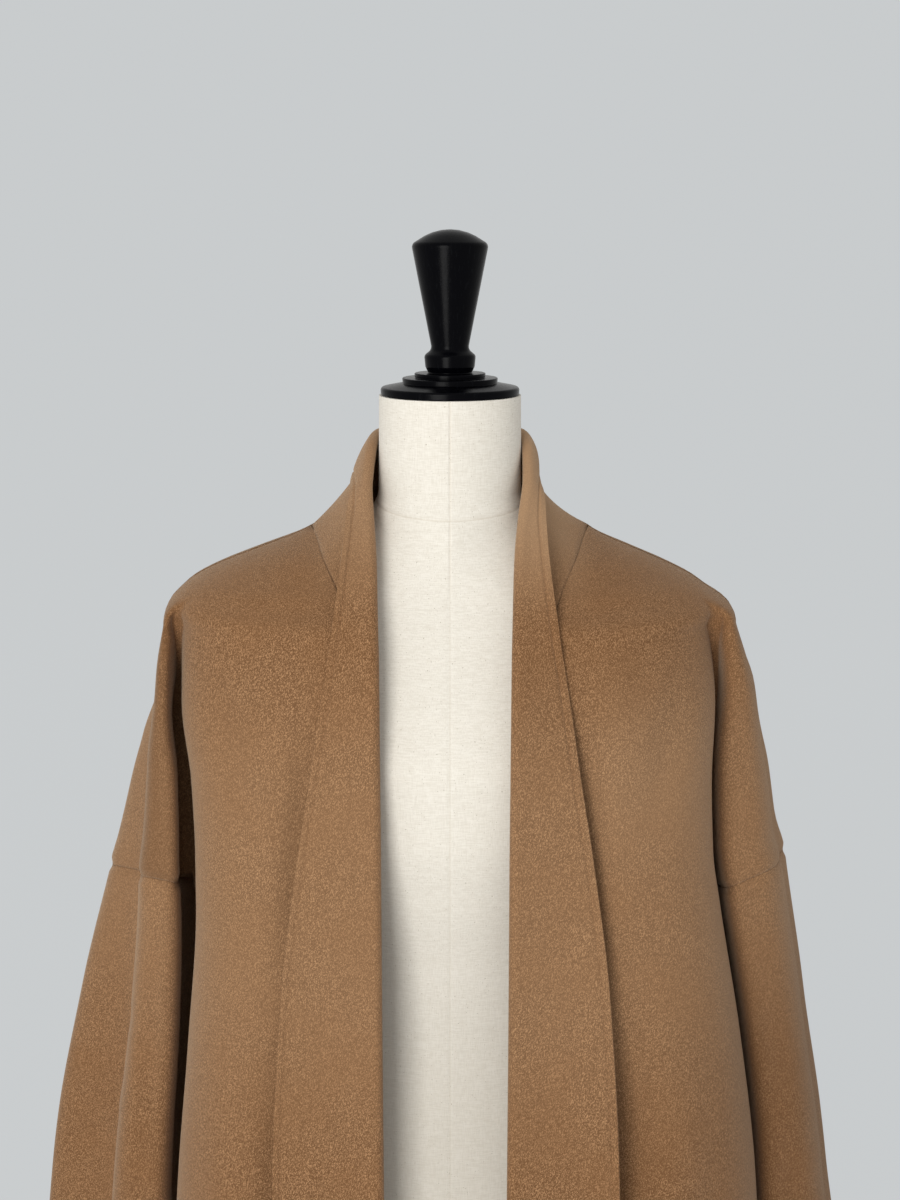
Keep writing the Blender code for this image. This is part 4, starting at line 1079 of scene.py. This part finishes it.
yokes = [joined(*(yoke_level(side, height, 1) for side in SIGN)) for height in yoke_heights]
skirts = [joined(*(skirt_level(side, height, 1) for side in SIGN)) for height in skirt_heights]
back = panel("coat_back", yokes, skirts, (0.0, 1.0, 0.0), BACK_CREASES, True)
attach(back, "root")
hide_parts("back")


# Sleeves: straight tubes of the same wool set on below the dropped shoulders with one seam underneath. They
# hang empty, so that each is pressed flat, with a long soft fold at its front.
CUFF_Z = 0.700
TILT_FADE = 0.10
SLEEVE_CREASES = {
    "left": (
        Crease(-0.236, 1.050, -0.262, 0.760, 0.014, -0.0026),
        Crease(-0.262, 0.985, -0.316, 0.925, 0.020, -0.0028),
        Crease(-0.272, 0.900, -0.330, 0.858, 0.018, 0.0022),
        Crease(-0.290, 0.850, -0.345, 0.800, 0.020, -0.0030),
    ),
    "right": (
        Crease(0.246, 0.975, 0.300, 0.910, 0.022, -0.0026),
        Crease(0.262, 0.895, 0.318, 0.850, 0.020, 0.0022),
        Crease(0.270, 0.835, 0.326, 0.780, 0.022, -0.0030),
    ),
}


def sleeve_level(side, height):
    """One level of a sleeve, from the seam underneath round the front, outside and back."""
    def plan(at):
        ring = arm_ring(side, at)
        front_tip, back_tip, outer = tips(ring)
        inner = crossing(ring, MID_Y, 0, front_tip)
        front = arm_columns(stretch(ring, inner, front_tip), stretch(ring, front_tip, outer), at)
        rest = np.concatenate([stretch(ring, back_tip, len(ring) - 1), stretch(ring, 0, inner)[1:]])
        back = arm_columns(rest[::-1], stretch(ring, outer, back_tip)[::-1], at)
        return levelled(np.concatenate([front, back[::-1][1:-1]]), at)
    weight = ease((height - ARMHOLE_Z + TILT_FADE) / TILT_FADE)
    return seam_tilt(side, plan, height, weight) * [SIGN[side], 1.0, 1.0]


sleeve_heights = np.concatenate([heights(ARMHOLE_Z - SEAM_GAP / 2, ARMHOLE_Z - SEAM_DIP_REACH, ROLL),
                                 heights(ARMHOLE_Z - SEAM_DIP_REACH, CUFF_Z + ROLL, BODY_ROW)[1:], [CUFF_Z]])
for side in SIGN:
    rings = [sleeve_level(side, height) for height in sleeve_heights]
    around = len(rings[0])
    away = np.concatenate([ring - ring.mean(axis=0) for ring in rings])
    dips = np.repeat(seam_dip(sleeve_heights, 1.0), around)
    sleeve = cut_piece("coat_sleeve_" + side, np.concatenate(rings), grid_faces(len(rings), around, True),
                       dips, away, SLEEVE_CREASES[side])
    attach(sleeve, "root")
    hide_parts("sleeve_" + side)


# Shawl collar: two halves joined at the centre back, each one long strip that stands up round the neck, rolls
# over and runs down the front as a turned-back band. Its free edge is closed with a line of hidden stitching.
FOLD_LEAD = 0.0055
EDGE_CLEARANCE = 0.0010
EDGE_LIFT = {"left": 0.0065, "right": 0.0120}
EDGE_LIFT_TOP = 1.260
EDGE_LIFT_REACH = 0.36
COLLAR_GAP = -0.0006
SIDE_SHIFT = {"left": 0.0035, "right": -0.0035}
EDGE_LEAN = {"left": 0.0020, "right": -0.0052}
BOW_LEAN = {"left": -0.0110, "right": 0.0060}
LEAN_REACH = 0.5
SHIFT_START = 0.8
NECK_COLUMNS = 44
NECK_ROW = 0.003
LAPEL_ROW = 0.008
UNDER_POINTS = 16
ROLL_POINTS = 12
UPPER_POINTS = 30
EDGE_CROWD = 0.72
CHANNEL_INSET = 0.0056
CHANNEL_HALF = 0.0018
CHANNEL_DEPTH = 0.0012
TINY = 1e-12

Collar = namedtuple("Collar", "place fold_x fold_y fold_z edge_x edge_y edge_z bow roll")
COLLAR = (
    Collar(0.00, 0.0000, 0.0640, 1.448, 0.0000, 0.0820, 1.404, 0.005, 0.0034),
    Collar(0.35, 0.0335, 0.0550, 1.448, 0.0425, 0.0715, 1.405, 0.007, 0.0034),
    Collar(0.70, 0.0550, 0.0310, 1.447, 0.0705, 0.0430, 1.408, 0.012, 0.0034),
    Collar(1.00, 0.0593, 0.0020, 1.442, 0.0750, 0.0080, 1.412, 0.017, 0.0034),
    Collar(1.30, 0.0600, -0.0290, 1.419, 0.0745, -0.0230, 1.409, 0.014, 0.0036),
    Collar(1.55, 0.0570, -0.0500, 1.394, 0.0760, -0.0460, 1.394, 0.009, 0.0040),
    Collar(1.80, 0.0530, -0.0780, 1.357, 0.0790, -0.0815, 1.357, 0.003, 0.0045),
    Collar(2.00, 0.0507, -0.1115, 1.300, 0.0862, -0.1085, 1.300, 0.001, 0.0045),
)

Lapel = namedtuple("Lapel", "height fold edge")
LAPEL = (
    Lapel(1.300, 0.0507, 0.0862),
    Lapel(1.257, 0.0500, 0.0930),
    Lapel(1.209, 0.0495, 0.1000),
    Lapel(1.143, 0.0490, 0.1106),
    Lapel(1.042, 0.0489, 0.1237),
    Lapel(0.879, 0.0485, 0.1336),
    Lapel(0.600, 0.0480, 0.1390),
    Lapel(0.335, 0.0480, 0.1420),
)


def unit(vectors):
    return vectors / np.maximum(np.linalg.norm(vectors, axis=-1, keepdims=True), TINY)


def collar_guides(side):
    """Seam, roll line and free edge of one collar half, station by station on the positive side."""
    body, arm = yoke_half(side, NECK_POINT_Z, 1)
    neck = levelled(resample(np.concatenate([body, arm[1:]]), NECK_COLUMNS), NECK_POINT_Z)
    seams = list(zip(np.linspace(0.0, 1.0, NECK_COLUMNS), neck))
    for height in heights(NECK_POINT_Z, CORNER_Z, NECK_ROW)[1:]:
        place = 1.0 + (NECK_POINT_Z - height) / (NECK_POINT_Z - CORNER_Z)
        seams.append((place, np.append(yoke_half(side, height, -1)[0][0], height)))
    stations = []
    for place, seam in seams:
        value = {name: smooth(COLLAR, name, place, "place") for name in Collar._fields[1:]}
        shift = SIDE_SHIFT[side] * float(ease(place - SHIFT_START))
        fold = np.array([value["fold_x"] + shift, value["fold_y"], value["fold_z"]])
        lean = float(ease(1 - abs(place - 1.0) / LEAN_REACH))
        edge_x = value["edge_x"] + shift + EDGE_LEAN[side] * lean
        edge = np.array([edge_x, value["edge_y"], value["edge_z"]])
        stations.append((seam, fold, edge, value["bow"] + BOW_LEAN[side] * lean, value["roll"]))
    for height in list(heights(CORNER_Z, HEM_Z + ROLL, LAPEL_ROW)[1:]) + [HEM_Z]:
        seam_x = smooth(SEAM, "x", height)
        edge_x = smooth(LAPEL, "edge", height) + SIDE_SHIFT[side]
        fold_x = smooth(LAPEL, "fold", height) + SIDE_SHIFT[side]
        seam_y = body_arc(side, height, -1, seam_x, MID_Y)[0, 1]
        lift = EDGE_CLEARANCE + EDGE_LIFT[side] * float(ease((EDGE_LIFT_TOP - height) / EDGE_LIFT_REACH))
        edge_y = body_arc(side, height, -1, edge_x, MID_Y)[0, 1] - CLOTH / 2 - lift
        fold_y = -smooth(BODY, "front", height) - FOLD_LEAD
        stations.append((np.array([seam_x, seam_y, height]), np.array([fold_x, fold_y, height]),
                         np.array([edge_x, edge_y, height]), COLLAR[-1].bow, COLLAR[-1].roll))
    return stations


def bezier(start, control, end, shares):
    t = shares[:, None]
    return (1 - t) ** 2 * start + 2 * t * (1 - t) * control + t * t * end


def collar_section(seam, edge, bow, radius):
    """Cross-section of the collar from its seam over the roll to the free edge."""
    under = bezier(seam - [COLLAR_GAP, CLOTH / 2], np.array([seam[0] * 0.5, -radius - bow]),
                   np.array([radius, -radius]), np.linspace(0.0, 1.0, UNDER_POINTS))
    angles = np.linspace(1.5 * math.pi, 0.5 * math.pi, ROLL_POINTS)
    roll = np.column_stack([radius + radius * np.cos(angles), radius * np.sin(angles)])
    even = np.linspace(0.0, 1.0, UPPER_POINTS)
    upper = bezier(np.array([radius, radius]), np.array([edge[0] * 0.5, radius]), edge,
                   even + EDGE_CROWD * even * (1 - even))
    return np.concatenate([under, roll[1:], upper[1:]])


for side in SIGN:
    stations = collar_guides(side)
    along = unit(np.gradient(np.array([station[1] for station in stations]), axis=0))
    along[0] = (1.0, 0.0, 0.0)
    outer = []
    inner = []
    for (seam, fold, edge, bow, radius), forward in zip(stations, along):
        across = seam - fold
        across = unit(across - forward * across.dot(forward))
        lift = np.cross(forward, across)
        if lift.dot((fold[0], fold[1], 0.0)) < 0:
            lift = -lift
        local = [np.array([(p - fold).dot(across), (p - fold).dot(lift)]) for p in (seam, edge)]
        slip = [(p - fold).dot(forward) for p in (seam, edge)]
        line = collar_section(local[0], local[1], bow, radius)
        drift = np.concatenate([np.linspace(slip[0], 0.0, UNDER_POINTS), np.zeros(ROLL_POINTS - 1),
                                np.interp(line[1 - UPPER_POINTS:, 0], [radius, local[1][0]], [0.0, slip[1]])])
        tangent = unit(np.gradient(line, axis=0))
        half_wall = np.stack([tangent[:, 1], -tangent[:, 0]], axis=1) * CLOTH / 2
        from_edge = lengths(line)[-1] - lengths(line)
        channel = CHANNEL_DEPTH * ease(1 - np.abs(from_edge - CHANNEL_INSET) / CHANNEL_HALF)
        pressed = half_wall * (1 - channel[:, None] / (CLOTH / 2))
        for face, points in ((outer, line - pressed), (inner, line + half_wall)):
            ring = fold + points[:, :1] * across + points[:, 1:] * lift + drift[:, None] * forward
            face.append(ring * [SIGN[side], 1.0, 1.0])
    for face in (outer, inner):
        face[0] = face[0] * [0.0, 1.0, 1.0] + [SIGN[side] * SEAM_GAP / 2, 0.0, 0.0]
    quads = grid_faces(len(stations), len(outer[0]), False)
    collar = wall("coat_collar_" + side, np.concatenate(outer), np.concatenate(inner), quads, wool)
    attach(collar, "root")
    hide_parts("collar_" + side)
